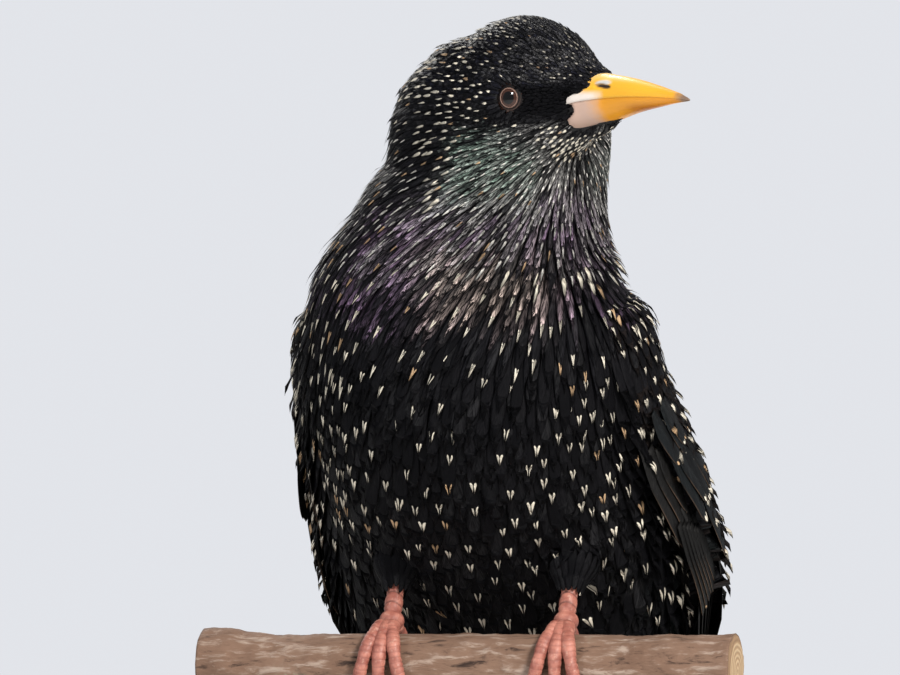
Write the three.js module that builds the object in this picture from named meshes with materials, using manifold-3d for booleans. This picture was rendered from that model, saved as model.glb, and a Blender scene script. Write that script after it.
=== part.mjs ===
// Common starling (Sturnus vulgaris), female in late winter, life size, perched on a cut length of twig
// that two short rods hold over a round base. Millimetres, +Z up. The bird's body faces -Y, its left side
// is +X, and its head is turned to its left. The origin is the middle of the underside of the base.
import * as THREE from "three";
import { mergeVertices } from "three/addons/utils/BufferGeometryUtils.js";
import Module from "manifold-3d";

const wasm = await Module();
wasm.setup();

// Driving sizes of the stand
const GAP = 0.3;
const BASE_RADIUS = 58;
const BASE_HEIGHT = 12;
const BASE_EDGE = 1.6;
const ROD_RADIUS = 2;
const ROD_SPREAD = 33;
const PERCH_Y = -12;
const PERCH_TOP = 101;
const PERCH_RADIUS = 6;
const PERCH_HALF_LENGTH = 46;
const PERCH_Z = PERCH_TOP - PERCH_RADIUS;
const PERCH_GRIP = 6;
const PERCH_BEND = { y: 2.2, yWave: 9, z: 1.8, zWave: 7, taper: 0.9, taperWave: 3 };

// Driving sizes of the body line, from the tip of the tail up to the hind crown.
// Each station has its place in the body's middle plane and half sizes across, to the back and to the front.
const BODY_LINE = [
  { x: 0, y: 57.3, z: 22.8, side: 13, back: 1.4, front: 1.4 },
  { x: 0, y: 48.5, z: 40.7, side: 12.6, back: 1.6, front: 1.6 },
  { x: 0, y: 39.8, z: 58.7, side: 12, back: 2.6, front: 3.2 },
  { x: 0, y: 33.2, z: 72.2, side: 12.5, back: 4.6, front: 5.6 },
  { x: 0, y: 28.8, z: 81.2, side: 16, back: 8, front: 8.5 },
  { x: 0, y: 22.5, z: 92.6, side: 23.5, back: 12.5, front: 12 },
  { x: 0, y: 14.4, z: 107.4, side: 29, back: 18, front: 15.5 },
  { x: 0, y: 6, z: 122.3, side: 29.8, back: 22, front: 21 },
  { x: 0, y: -1, z: 133.7, side: 29.8, back: 23, front: 25.5 },
  { x: 0.2, y: -7.4, z: 144.2, side: 29.8, back: 22, front: 26 },
  { x: 0.8, y: -12.4, z: 156, side: 28.6, back: 20.5, front: 21.5 },
  { x: 3, y: -15, z: 167, side: 22.8, back: 17.5, front: 18 },
  { x: 5.5, y: -16, z: 176, side: 19.2, back: 15.5, front: 16 },
  { x: 6.4, y: -16.4, z: 185, side: 19.1, back: 14.8, front: 14 },
  { x: 6.5, y: -16.2, z: 192.5, side: 17, back: 13, front: 12 },
  { x: 6.3, y: -15.6, z: 199, side: 10.8, back: 9, front: 9 },
];
const TAIL_ROOT = 3;
const BODY_SIDES = 28;
const BODY_STEPS_PER_STATION = 1.5;

// Head frame: its origin is midway between the eyes, and it looks along the bill.
const HEAD_TURN = THREE.MathUtils.degToRad(57);
const HEAD_PLACE = new THREE.Vector3(17.3, -24, 190.4);
// Sections of the skull with its feathers: place along the bill's direction, half width, top and bottom.
const HEAD_SECTIONS = [
  { f: -18.5, half: 7.5, top: 7.5, bottom: -12 },
  { f: -15, half: 10.6, top: 11.2, bottom: -14 },
  { f: -10, half: 12.3, top: 13.3, bottom: -14.6 },
  { f: -5, half: 11.9, top: 13.7, bottom: -14.2 },
  { f: 0, half: 10.5, top: 12.3, bottom: -12.8 },
  { f: 3.4, half: 8.6, top: 10.8, bottom: -10.9 },
  { f: 6, half: 6.6, top: 9.1, bottom: -9.3 },
  { f: 8.4, half: 5.1, top: 7.3, bottom: -8 },
  { f: 10.6, half: 4.3, top: 5.6, bottom: -6.6 },
  { f: 12.6, half: 3.3, top: 4.4, bottom: -5.2 },
];
const HEAD_SIDES = 28;
const EYE_RADIUS = 4.2;
const EYE_BACK = 0.6;
const EYE_OUT = 6.2;
const EYE_UP = -0.3;
const EYE_TURN = THREE.MathUtils.degToRad(16);
const LID_RADIUS = 2.15;
const LID_THICKNESS = 0.4;
const CROWN = { share: 0.45, rise: 1.8 };

// Bill: place along the head, culmen, mouth line, underside and half width
const BILL_SECTIONS = [
  { f: 6.6, top: 1.2, mouth: -1.7, under: -4.6, half: 5 },
  { f: 9, top: 2.9, mouth: -1.2, under: -5.4, half: 4.8 },
  { f: 11.5, top: 4, mouth: -0.8, under: -5.2, half: 4.3 },
  { f: 15.7, top: 3.5, mouth: -0.4, under: -4.2, half: 3.5 },
  { f: 21.2, top: 2.75, mouth: -0.15, under: -2.8, half: 2.75 },
  { f: 26.7, top: 1.6, mouth: -0.2, under: -1.85, half: 1.9 },
  { f: 31.4, top: 0.5, mouth: -0.4, under: -1.15, half: 0.95 },
  { f: 33.4, top: -0.15, mouth: -0.55, under: -0.95, half: 0.35 },
];
const BILL_SWELL = 0.9;
const NOSTRIL = { f: 15.8, left: 2.9, h: 1.9, length: 1.5, height: 0.55, depth: 0.7 };

// Wing: places are distances from the tip of the tail, angles are degrees round the body from its flank
const WRIST = 155;
const ARM_END = 86;
const ARM_HEIGHT = 2.6;
const ARM = { lowEdge: [14, -20], highEdge: [64, 48], rim: 0.8, depth: 1.5, from: 0.12, to: 0.88 };
const WING_TIERS = {
  primaries: {
    count: 5, steps: 5, rootAt: [118, 104], tipAt: [27, 60], rootAngle: [-13, 13], tipAngle: [42, 66],
    rootLift: [0.4, 1.8], tipLift: [0.4, 4], half: 4.9, taper: 2.4, roll: 0.25,
  },
  secondaries: {
    count: 5, steps: 3, rootAt: [103, 99], tipAt: [67, 77], rootAngle: [8, 43], tipAngle: [30, 63],
    rootLift: [2.6, 3.1], tipLift: [3.5, 5.2], half: 5.8, taper: 4, roll: 0.26,
  },
  tertials: {
    count: 3, steps: 4, rootAt: [108, 104], tipAt: [73, 92], rootAngle: [54, 70], tipAngle: [60, 77],
    rootLift: [3.8, 4.5], tipLift: [5.7, 6.9], half: 6.6, taper: 4, roll: 0.25,
  },
  primaryCoverts: {
    count: 2, steps: 3, rootAt: [112, 110], tipAt: [93, 96], rootAngle: [-17, -8], tipAngle: [-8, 1],
    rootLift: [2.5, 2.7], tipLift: [3.6, 4], half: 3.4, taper: 3, roll: 0.26,
  },
  alula: {
    count: 2, steps: 3, rootAt: [129, 128], tipAt: [107, 111], rootAngle: [-21, -13], tipAngle: [-16, -8],
    rootLift: [1.8, 2], tipLift: [3.4, 3.8], half: 3.2, taper: 3, roll: 0.26,
  },
  greaterCoverts: {
    count: 5, steps: 3, rootAt: [115, 111], tipAt: [99, 96], rootAngle: [1, 40], tipAngle: [6, 47],
    rootLift: [2.7, 3.1], tipLift: [4.8, 5.4], half: 5, taper: 5, roll: 0.27,
  },
  medianCoverts: {
    count: 5, steps: 2, rootAt: [128, 123], tipAt: [112, 108], rootAngle: [-8, 40], tipAngle: [-3, 47],
    rootLift: [2.2, 2.6], tipLift: [4.3, 4.9], half: 5.4, taper: 5, roll: 0.27,
  },
  lesserCoverts: {
    count: 4, steps: 2, rootAt: [143, 139], tipAt: [126, 121], rootAngle: [-9, 38], tipAngle: [-6, 43],
    rootLift: [1.8, 2.1], tipLift: [3.8, 4.3], half: 6.8, taper: 5, roll: 0.25,
  },
  scapulars: {
    count: 3, steps: 3, rootAt: [135, 118], tipAt: [114, 96], rootAngle: [55, 68], tipAngle: [61, 76],
    rootLift: [1.2, 2.9], tipLift: [4.4, 6.6], half: 6.6, taper: 4, roll: 0.25,
  },
};
// The bird's left wing hangs a little off its flank, as the photo shows at its edge
const WING_HANG = { amount: 4, from: 132, to: 52 };

// Tail: six pairs of feathers, counted from the middle pair outwards
const TAIL_SHEATH_END = 40;
const TAIL = {
  pairs: 6, steps: 4, rootAt: 49, tipAt: 3.6, fork: 0.35, rootStart: 1.2, rootStep: 1, tipStart: 1.9,
  tipStep: 1.8, top: 0.6, layer: 0.35, half: 3.7, taper: 5, slope: 0.06,
};

// Legs: the tarsus rises from the perch, leaning back, into the feathered thigh
const FOOT_SPREAD = 15;
const FOOT_SHIFT = 1.5;
const TARSUS_RADIUS = 1.35;
const ANKLE_RADIUS = 2.15;
const TARSUS_SHOWN = 5.6;
const THIGH_MARKS = [0, 2, 5, 9, 14];
const THIGH_RADII = [2.1, 3.6, 5.2, 6.4, 6.6];
const LEG_LEAN = THREE.MathUtils.degToRad(62);
const TOE_RADIUS = 1.35;
const CLAW_RADII = [0.85, 0.16];
const CLAW_START = 2.4;
const TOES = [
  { name: "inner", spread: -3.4, from: 72, to: -35, claw: 48 },
  { name: "middle", spread: 0.2, from: 72, to: -72, claw: 46 },
  { name: "outer", spread: 3.8, from: 72, to: -48, claw: 44 },
  { name: "hind", spread: -0.4, from: 108, to: 176, claw: 62 },
];

// Materials: colour, roughness and metalness of each surface
const finish = (color, roughness, metalness = 0) =>
  new THREE.MeshStandardMaterial({ color, roughness, metalness });
const PLUMAGE = finish(0x15161a, 0.55);
const WING_FEATHER = finish(0x221d1c, 0.5);
const BILL_YELLOW = finish(0xe0a52c, 0.35);
const EYE_BROWN = finish(0x2b1710, 0.08);
const LEG_PINK = finish(0xb4604a, 0.6);
const CLAW_HORN = finish(0x2c2320, 0.4);
const BARK = finish(0x6d5446, 0.85);
const BASE_WOOD = finish(0x4a3021, 0.4);
const ROD_METAL = finish(0x8f8265, 0.35, 1);

const point = (x, y, z) => new THREE.Vector3(x, y, z);
const mix = THREE.MathUtils.lerp;
const radians = THREE.MathUtils.degToRad;

// Closed meshes, and the solids that are joined and cut
function signedVolume(vertices, triangles) {
  let sum = 0;
  for (let i = 0; i < triangles.length; i += 3) {
    const [a, b, c] = [0, 1, 2].map((k) => vertices[triangles[i + k]]);
    sum += a.dot(b.clone().cross(c)) / 6;
  }
  return sum;
}

function toSolid(vertices, triangles) {
  const outward = signedVolume(vertices, triangles) > 0;
  const order = outward ? triangles : triangles.slice().reverse();
  return new wasm.Manifold(new wasm.Mesh({
    numProp: 3,
    vertProperties: new Float32Array(vertices.flatMap((v) => [v.x, v.y, v.z])),
    triVerts: new Uint32Array(order),
  }));
}

function geometrySolid(geometry, matrix = new THREE.Matrix4()) {
  const bare = geometry.clone();
  bare.deleteAttribute("normal");
  bare.deleteAttribute("uv");
  bare.applyMatrix4(matrix);
  const merged = mergeVertices(bare, 1e-4);
  const place = merged.getAttribute("position");
  const vertices = Array.from({ length: place.count }, (_, i) => point().fromBufferAttribute(place, i));
  return toSolid(vertices, Array.from(merged.getIndex().array));
}

function largest(solid) {
  const bodies = solid.decompose();
  return bodies.reduce((best, body) => (body.volume() > best.volume() ? body : best));
}

const union = (solids) => solids.reduce((whole, solid) => whole.add(solid));

// A loft: rings of as many points each, closed by a fan at either end
function loft(rings) {
  const sides = rings[0].length;
  const vertices = rings.flat();
  const triangles = [];
  for (let r = 0; r + 1 < rings.length; r += 1) {
    for (let i = 0; i < sides; i += 1) {
      const next = (i + 1) % sides;
      const [a, b] = [r * sides + i, r * sides + next];
      const [c, d] = [a + sides, b + sides];
      triangles.push(a, b, d, a, d, c);
    }
  }
  const closeEnd = (start, flip) => {
    const middle = point(0, 0, 0);
    for (let i = 0; i < sides; i += 1) middle.addScaledVector(vertices[start + i], 1 / sides);
    vertices.push(middle);
    for (let i = 0; i < sides; i += 1) {
      const [a, b] = [start + i, start + ((i + 1) % sides)];
      triangles.push(vertices.length - 1, flip ? b : a, flip ? a : b);
    }
  };
  closeEnd(0, true);
  closeEnd((rings.length - 1) * sides, false);
  return toSolid(vertices, triangles);
}

// A slab: a grid of points with an upper and a lower face split alike, closed round its rim
function slab(rows) {
  const [count, width] = [rows.length, rows[0].length];
  const vertices = [...rows.flat().map((p) => p.upper), ...rows.flat().map((p) => p.lower)];
  const under = count * width;
  const triangles = [];
  for (let r = 0; r + 1 < count; r += 1) {
    for (let j = 0; j + 1 < width; j += 1) {
      const a = r * width + j;
      const [b, c, d] = [a + 1, a + width, a + width + 1];
      triangles.push(a, b, d, a, d, c);
      triangles.push(a + under, d + under, b + under, a + under, c + under, d + under);
    }
  }
  const rim = [];
  for (let j = 0; j + 1 < width; j += 1) rim.push(j);
  for (let r = 0; r + 1 < count; r += 1) rim.push(r * width + width - 1);
  for (let j = width - 1; j > 0; j -= 1) rim.push((count - 1) * width + j);
  for (let r = count - 1; r > 0; r -= 1) rim.push(r * width);
  rim.forEach((a, i) => {
    const b = rim[(i + 1) % rim.length];
    triangles.push(b, a, a + under, b, a + under, b + under);
  });
  return toSolid(vertices, triangles);
}

// A round limb of changing thickness along a line of points
function limb(places, radii, sides = 10) {
  const line = new THREE.CatmullRomCurve3(places);
  const steps = places.length - 1;
  const rings = places.map((place, i) => {
    const along = line.getTangent(i / steps);
    const level = Math.abs(along.x) > 0.9 ? point(0, 1, 0) : point(1, 0, 0);
    const up = level.clone().cross(along).normalize();
    const across = along.clone().cross(up).normalize();
    return Array.from({ length: sides }, (_, k) => {
      const turn = (2 * Math.PI * k) / sides;
      return place.clone()
        .addScaledVector(across, radii[i] * Math.cos(turn))
        .addScaledVector(up, radii[i] * Math.sin(turn));
    });
  });
  return loft(rings);
}

// The body line as smooth curves of place and of size, read by the distance from the tip of the tail
const placeLine = new THREE.CatmullRomCurve3(BODY_LINE.map((s) => point(s.x, s.y, s.z)));
const sizeLine = new THREE.CatmullRomCurve3(BODY_LINE.map((s) => point(s.side, s.back, s.front)));
const LAST = BODY_LINE.length - 1;
const distances = BODY_LINE.reduce((list, s, i) => {
  const before = BODY_LINE[Math.max(0, i - 1)];
  const step = point(s.x, s.y, s.z).distanceTo(point(before.x, before.y, before.z));
  return [...list, (list[i - 1] ?? 0) + step];
}, []);

function stationAt(distance) {
  let i = 0;
  while (i < LAST - 1 && distances[i + 1] < distance) i += 1;
  return i + (distance - distances[i]) / (distances[i + 1] - distances[i]);
}

function sectionAt(station) {
  const t = THREE.MathUtils.clamp(station / LAST, 0, 1);
  const along = placeLine.getTangent(t);
  const across = point(1, 0, 0).addScaledVector(along, -along.x).normalize();
  const size = sizeLine.getPoint(t);
  return { place: placeLine.getPoint(t), across, dorsal: along.clone().cross(across), size };
}

// A point of the body's surface: angle 0 is its left flank, 90 the middle of the back, -90 the belly
function bodyPoint(section, angle, lift = 0) {
  const [c, s] = [Math.cos(angle), Math.sin(angle)];
  const depth = (s > 0 ? section.size.y : section.size.z) + lift;
  return section.place.clone()
    .addScaledVector(section.across, (section.size.x + lift) * c)
    .addScaledVector(section.dorsal, depth * s);
}

function bodySolid(firstStation, grow) {
  const steps = Math.ceil((LAST - firstStation) * BODY_STEPS_PER_STATION);
  const rings = Array.from({ length: steps + 1 }, (_, k) => {
    const section = sectionAt(Math.max(firstStation, LAST - (steps - k) / BODY_STEPS_PER_STATION));
    return Array.from({ length: BODY_SIDES }, (_, i) =>
      bodyPoint(section, (2 * Math.PI * i) / BODY_SIDES, grow));
  });
  const crown = sectionAt(LAST);
  const dome = rings[rings.length - 1].map((p) =>
    p.clone().lerp(crown.place, CROWN.share).add(point(0, 0, CROWN.rise)));
  rings.push(dome);
  return loft(rings);
}

// The head, from sections across the bill's direction
const headMatrix = new THREE.Matrix4()
  .makeRotationZ(HEAD_TURN)
  .setPosition(HEAD_PLACE);
const inHead = (f, left, h) => point(left, -f, h).applyMatrix4(headMatrix);

function headSolid() {
  const rings = HEAD_SECTIONS.map(({ f, half, top, bottom }) =>
    Array.from({ length: HEAD_SIDES }, (_, i) => {
      const turn = (2 * Math.PI * i) / HEAD_SIDES;
      const s = Math.sin(turn);
      return inHead(f, half * Math.cos(turn), s * (s > 0 ? top : -bottom));
    }));
  return loft(rings);
}

function mandible(isUpper, grow = 0) {
  const arc = 8;
  const rings = BILL_SECTIONS.map(({ f, top, mouth, under, half }, k) => {
    const edge = mouth + (isUpper ? GAP / 2 : -GAP / 2);
    const reach = isUpper ? top - edge : under - edge;
    const flat = isUpper ? edge - grow : edge + grow;
    const back = k === 0 ? f - grow : f;
    return Array.from({ length: arc + 1 }, (_, i) => {
      const turn = (Math.PI * i) / arc;
      const side = (half + grow) * Math.cos(turn);
      const rise = (Math.abs(reach) + 2 * grow) * Math.sin(turn) ** BILL_SWELL;
      return inHead(back, side, flat + Math.sign(reach) * rise);
    });
  });
  return loft(rings);
}

function ball(radius, middle, scale = point(1, 1, 1), turn = 0, detail = 16) {
  const matrix = new THREE.Matrix4().compose(
    middle,
    new THREE.Quaternion().setFromAxisAngle(point(0, 0, 1), turn),
    scale,
  );
  return geometrySolid(new THREE.SphereGeometry(radius, detail, detail * 0.75), matrix);
}

const eyePlace = (side) => inHead(-EYE_BACK, side * EYE_OUT, EYE_UP);

function lidRing(side) {
  const outward = point(side * Math.cos(EYE_TURN), -Math.sin(EYE_TURN), 0);
  const reach = Math.sqrt((EYE_RADIUS + GAP) ** 2 - LID_RADIUS ** 2) + 0.1;
  const middle = outward.clone().multiplyScalar(reach).add(point(side * EYE_OUT, EYE_BACK, EYE_UP));
  const turn = new THREE.Quaternion().setFromUnitVectors(point(0, 0, 1), outward);
  const matrix = headMatrix.clone().multiply(new THREE.Matrix4().compose(middle, turn, point(1, 1, 1)));
  return geometrySolid(new THREE.TorusGeometry(LID_RADIUS, LID_THICKNESS, 6, 18), matrix);
}

// Cutting planes that part the head, neck and torso: a wide thin plate with a place and a direction
function plate(middle, direction, thickness = GAP) {
  const turn = new THREE.Quaternion().setFromUnitVectors(point(0, 0, 1), direction.clone().normalize());
  const matrix = new THREE.Matrix4().compose(middle, turn, point(1, 1, 1));
  return geometrySolid(new THREE.BoxGeometry(480, 480, thickness), matrix);
}

const halfSpace = (middle, direction) => {
  const depth = 240;
  const away = direction.clone().normalize();
  return plate(middle.clone().addScaledVector(away, depth / 2), away, depth);
};

// A feather vane: a thin, slightly arched slab along a line of places, narrow at its root and at its tip
const VANE_THICKNESS = 0.5;
const VANE = { rootWidth: 0.4, widening: 1.8, tipWidth: 0.22, droop: 0.02, step: 0.02 };

function vane(centreAt, normalAt, { half, taper, steps }, roll) {
  const { step, droop } = VANE;
  const rows = Array.from({ length: steps + 1 }, (_, k) => {
    const t = k / steps;
    const place = centreAt(t);
    const along = centreAt(Math.min(1, t + step)).sub(centreAt(Math.max(0, t - step))).normalize();
    const normal = normalAt(t).addScaledVector(along, -normalAt(t).dot(along)).normalize();
    const across = along.clone().cross(normal);
    const opening = Math.min(1, VANE.rootWidth + VANE.widening * t);
    const width = half * opening * Math.max(VANE.tipWidth, Math.sqrt(1 - t ** taper));
    return [-1, 0, 1].map((q) => {
      const drop = (q === 0 ? 0 : -droop * width) + roll * q * width;
      const middle = place.clone().addScaledVector(across, q * width).addScaledVector(normal, drop);
      return {
        upper: middle.clone().addScaledVector(normal, VANE_THICKNESS / 2),
        lower: middle.clone().addScaledVector(normal, -VANE_THICKNESS / 2),
      };
    });
  });
  return slab(rows);
}

// How far the wing stands off the flank at a distance along the body line and an angle round it
function hangAt(distance, angle, amount) {
  const along = THREE.MathUtils.clamp((WING_HANG.from - distance) / (WING_HANG.from - WING_HANG.to), 0, 1);
  return amount * Math.sin(Math.PI * along) * Math.cos(angle);
}

// A tier of vanes on the body's side. Each pair gives the first and the last vane of the row:
// distance from the tip of the tail and angle round the body at root and tip, and height over the body.
function tierSolids(tier, hang) {
  const last = tier.count - 1;
  return Array.from({ length: tier.count }, (_, i) => {
    const pick = ([first, end]) => mix(first, end, i / last);
    const distance = (t) => mix(pick(tier.rootAt), pick(tier.tipAt), t);
    const angle = (t) => radians(mix(pick(tier.rootAngle), pick(tier.tipAngle), t));
    const liftedPoint = (t, more) => {
      const lift = mix(pick(tier.rootLift), pick(tier.tipLift), t) + hangAt(distance(t), angle(t), hang);
      return bodyPoint(sectionAt(stationAt(distance(t))), angle(t), lift + more);
    };
    const centreAt = (t) => liftedPoint(t, 0);
    const normalAt = (t) => liftedPoint(t, 1).sub(centreAt(t));
    return vane(centreAt, normalAt, tier, tier.roll);
  });
}

// The arm of the folded wing, which carries the vanes
function wingArm(hang) {
  const across = 4;
  const steps = 5;
  const rows = Array.from({ length: steps + 1 }, (_, k) => {
    const t = k / steps;
    const distance = mix(ARM_END, WRIST, t);
    const section = sectionAt(stationAt(distance));
    const swell = Math.sin(Math.PI * mix(ARM.from, ARM.to, t)) ** 0.5;
    return Array.from({ length: across + 1 }, (_, j) => {
      const q = j / across;
      const angle = radians(mix(mix(...ARM.lowEdge, t ** 0.5), mix(...ARM.highEdge, t), q));
      const height = mix(ARM.rim, ARM_HEIGHT, swell * Math.sin(Math.PI * q) ** 0.5);
      const upper = bodyPoint(section, angle, height + hangAt(distance, angle, hang));
      return { upper, lower: bodyPoint(section, angle, -ARM.depth) };
    });
  });
  return slab(rows);
}

function wingSolid(hang) {
  const vanes = Object.values(WING_TIERS).flatMap((tier) => tierSolids(tier, hang));
  return wasm.Manifold.union([wingArm(hang), ...vanes]);
}

// The tail: a short root and twelve vanes, the middle pair on top
function tailSolid() {
  const rootRings = [0, 0.35, 0.7, 1].map((t) => {
    const section = sectionAt(stationAt(mix(distances[TAIL_ROOT] - GAP, TAIL_SHEATH_END, t)));
    const thin = mix(0.8, 0.3, t);
    return Array.from({ length: 16 }, (_, i) => {
      const turn = (2 * Math.PI * i) / 16;
      return section.place.clone()
        .addScaledVector(section.across, section.size.x * mix(0.85, 0.75, t) * Math.cos(turn))
        .addScaledVector(section.dorsal, section.size.y * thin * Math.sin(turn) - 0.5);
    });
  });
  const vanes = [-1, 1].flatMap((side) => Array.from({ length: TAIL.pairs }, (_, i) => {
    const at = (t) => sectionAt(stationAt(mix(TAIL.rootAt, TAIL.tipAt - TAIL.fork * i, t)));
    const centreAt = (t) => {
      const section = at(t);
      const x = side * mix(TAIL.rootStart + TAIL.rootStep * i, TAIL.tipStart + TAIL.tipStep * i, t);
      return section.place.clone()
        .addScaledVector(section.across, x)
        .addScaledVector(section.dorsal, TAIL.top - TAIL.layer * i - (side > 0 ? 0 : TAIL.layer / 2));
    };
    return vane(centreAt, (t) => at(t).dorsal.clone(), TAIL, side * TAIL.slope);
  }));
  return wasm.Manifold.union([loft(rootRings), ...vanes]);
}

const mirror = (solid, side) => (side > 0 ? solid : solid.mirror([1, 0, 0]));

// The stand: base, rods and perch
function latheSolid(profile, sides = 40) {
  const geometry = new THREE.LatheGeometry(profile.map(([x, y]) => new THREE.Vector2(x, y)), sides);
  return geometrySolid(geometry, new THREE.Matrix4().makeRotationX(Math.PI / 2));
}

function baseSolid() {
  const [r, h, e] = [BASE_RADIUS, BASE_HEIGHT, BASE_EDGE];
  return latheSolid([[0, 0], [r - e, 0], [r, e], [r, h - 2 * e], [r - 2 * e, h], [0, h]]);
}

function perchSolid(grow = 0) {
  const steps = 12;
  const bend = PERCH_BEND;
  const places = [];
  const radii = [];
  for (let k = 0; k <= steps; k += 1) {
    const x = mix(-PERCH_HALF_LENGTH - grow, PERCH_HALF_LENGTH + grow, k / steps);
    const free = Math.max(0, Math.abs(x) - FOOT_SPREAD - FOOT_SHIFT - PERCH_GRIP) / PERCH_HALF_LENGTH;
    const y = PERCH_Y + bend.y * free * Math.sin(x / bend.yWave);
    places.push(point(x, y, PERCH_Z + bend.z * free * Math.cos(x / bend.zWave)));
    radii.push(PERCH_RADIUS + grow - bend.taper * free * (1 + Math.sin(x / bend.taperWave)));
  }
  return limb(places, radii, 16);
}

function rodSolid(side) {
  const height = PERCH_Z - BASE_HEIGHT - GAP;
  const geometry = new THREE.CylinderGeometry(ROD_RADIUS, ROD_RADIUS, height, 16);
  const place = point(side * ROD_SPREAD, PERCH_Y, BASE_HEIGHT + GAP + height / 2);
  const matrix = new THREE.Matrix4().makeRotationX(Math.PI / 2).setPosition(place);
  return geometrySolid(geometry, matrix);
}

// Legs, toes and claws
const legDirection = point(0, Math.cos(LEG_LEAN), Math.sin(LEG_LEAN));
const footX = (side) => side * FOOT_SPREAD + FOOT_SHIFT;
const footJoint = (side) => point(footX(side), PERCH_Y + 0.5, PERCH_TOP + 2.6);
const legPoint = (side, distance) => footJoint(side).addScaledVector(legDirection, distance);

function tarsusSolid(side) {
  const marks = [1.9, 4.5, TARSUS_SHOWN];
  const radii = [1.15, 1, 1.1].map((share) => share * TARSUS_RADIUS);
  return limb(marks.map((d) => legPoint(side, d)), radii);
}

function thighSolid(side) {
  const start = TARSUS_SHOWN + GAP;
  return limb(THIGH_MARKS.map((d) => legPoint(side, start + d)), THIGH_RADII, 14);
}

function toePoint(side, toe, angle, radius) {
  const along = Math.abs(angle - toe.from) / Math.abs(toe.to - toe.from);
  const turn = radians(angle);
  const reach = PERCH_RADIUS + GAP + radius;
  const x = footX(side) + side * toe.spread * Math.min(1.15, 0.25 + along);
  return point(x, PERCH_Y - reach * Math.cos(turn), PERCH_Z + reach * Math.sin(turn));
}

function toeSolid(side, toe) {
  const knuckles = 7;
  const places = [];
  const radii = [];
  for (let k = 0; k <= knuckles; k += 1) {
    const t = k / knuckles;
    const bulge = k % 2 === 0 ? 1 : 0.86;
    radii.push(TOE_RADIUS * mix(1, 0.72, t) * bulge);
    places.push(toePoint(side, toe, mix(toe.from, toe.to, t), TOE_RADIUS));
  }
  return limb(places, radii);
}

function clawSolid(side, toe) {
  const turnSign = Math.sign(toe.to - toe.from);
  const steps = 4;
  const places = [];
  const radii = [];
  for (let k = 0; k <= steps; k += 1) {
    const t = k / steps;
    radii.push(mix(...CLAW_RADII, t));
    const start = toe.to + turnSign * CLAW_START;
    places.push(toePoint(side, toe, start + turnSign * toe.claw * t, mix(TOE_RADIUS, 0.2, t * t)));
  }
  return limb(places, radii, 8);
}

function footSolid(side) {
  const knob = ball(ANKLE_RADIUS, footJoint(side).add(point(0, 0, -0.45)), point(1, 1, 0.9), 0, 12);
  return union([knob, ...TOES.map((toe) => toeSolid(side, toe))]);
}

// The group of named sub-parts
const group = new THREE.Group();

function addNode(name, solid, material) {
  const mesh = largest(solid).getMesh();
  const geometry = new THREE.BufferGeometry();
  geometry.setAttribute("position", new THREE.BufferAttribute(mesh.vertProperties, 3));
  geometry.setIndex(new THREE.BufferAttribute(mesh.triVerts, 1));
  geometry.computeVertexNormals();
  const node = new THREE.Mesh(geometry, material);
  node.name = name;
  group.add(node);
}

const trunk = bodySolid(TAIL_ROOT, 0);
const grownBody = bodySolid(0, GAP);
const skull = headSolid();
const flesh = trunk.add(skull);

// Where the head meets the neck, and the neck the torso: a point of each joint and the way it faces
const headCut = { middle: point(6, -17, 175.5), direction: point(0.25, -0.2, 1) };
const neckCut = { middle: point(0, -14, 160.5), direction: point(0, -0.35, 1) };
const above = (cut) => halfSpace(
  cut.middle.clone().addScaledVector(cut.direction.clone().normalize(), GAP / 2),
  cut.direction,
);
const below = (cut) => halfSpace(
  cut.middle.clone().addScaledVector(cut.direction.clone().normalize(), -GAP / 2),
  cut.direction.clone().negate(),
);

const SIDES = [["left", 1], ["right", -1]];
const billRoom = mandible(true, GAP).add(mandible(false, GAP));
let head = flesh.intersect(above(headCut));
for (const [, side] of SIDES) {
  head = head.add(lidRing(side)).subtract(ball(EYE_RADIUS + GAP, eyePlace(side), undefined, HEAD_TURN, 16));
}
addNode("head", head.subtract(billRoom), PLUMAGE);
addNode("neck", flesh.intersect(below(headCut)).intersect(above(neckCut)), PLUMAGE);
addNode("torso", flesh.intersect(below(neckCut)), PLUMAGE);

let upperBill = mandible(true);
for (const [, side] of SIDES) {
  const { f, left, h, length, height, depth } = NOSTRIL;
  const place = inHead(f, side * left, h);
  upperBill = upperBill.subtract(ball(1, place, point(depth, length, height), HEAD_TURN, 10));
}
addNode("bill_upper", upperBill, BILL_YELLOW);
addNode("bill_lower", mandible(false), BILL_YELLOW);

addNode("tail", tailSolid(), WING_FEATHER);
const leftOnly = halfSpace(point(GAP / 2, 0, 0), point(1, 0, 0));
const perch = perchSolid();
const grownPerch = perchSolid(GAP);
for (const [name, side] of SIDES) {
  addNode(`eye_${name}`, ball(EYE_RADIUS, eyePlace(side), undefined, HEAD_TURN, 16), EYE_BROWN);
  const wing = wingSolid(side > 0 ? WING_HANG.amount : 0).intersect(leftOnly);
  addNode(`wing_${name}`, mirror(wing, side).subtract(grownBody), WING_FEATHER);
  addNode(`thigh_${name}`, thighSolid(side).subtract(grownBody), PLUMAGE);
  addNode(`tarsus_${name}`, tarsusSolid(side), LEG_PINK);
  addNode(`foot_${name}`, footSolid(side).subtract(grownPerch), LEG_PINK);
  for (const toe of TOES) {
    addNode(`claw_${toe.name}_${name}`, clawSolid(side, toe).subtract(grownPerch), CLAW_HORN);
  }
}
addNode("stand_perch", perch, BARK);
addNode("stand_rod_left", rodSolid(1).subtract(grownPerch), ROD_METAL);
addNode("stand_rod_right", rodSolid(-1).subtract(grownPerch), ROD_METAL);
addNode("stand_base", baseSolid(), BASE_WOOD);

export default group;
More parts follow.
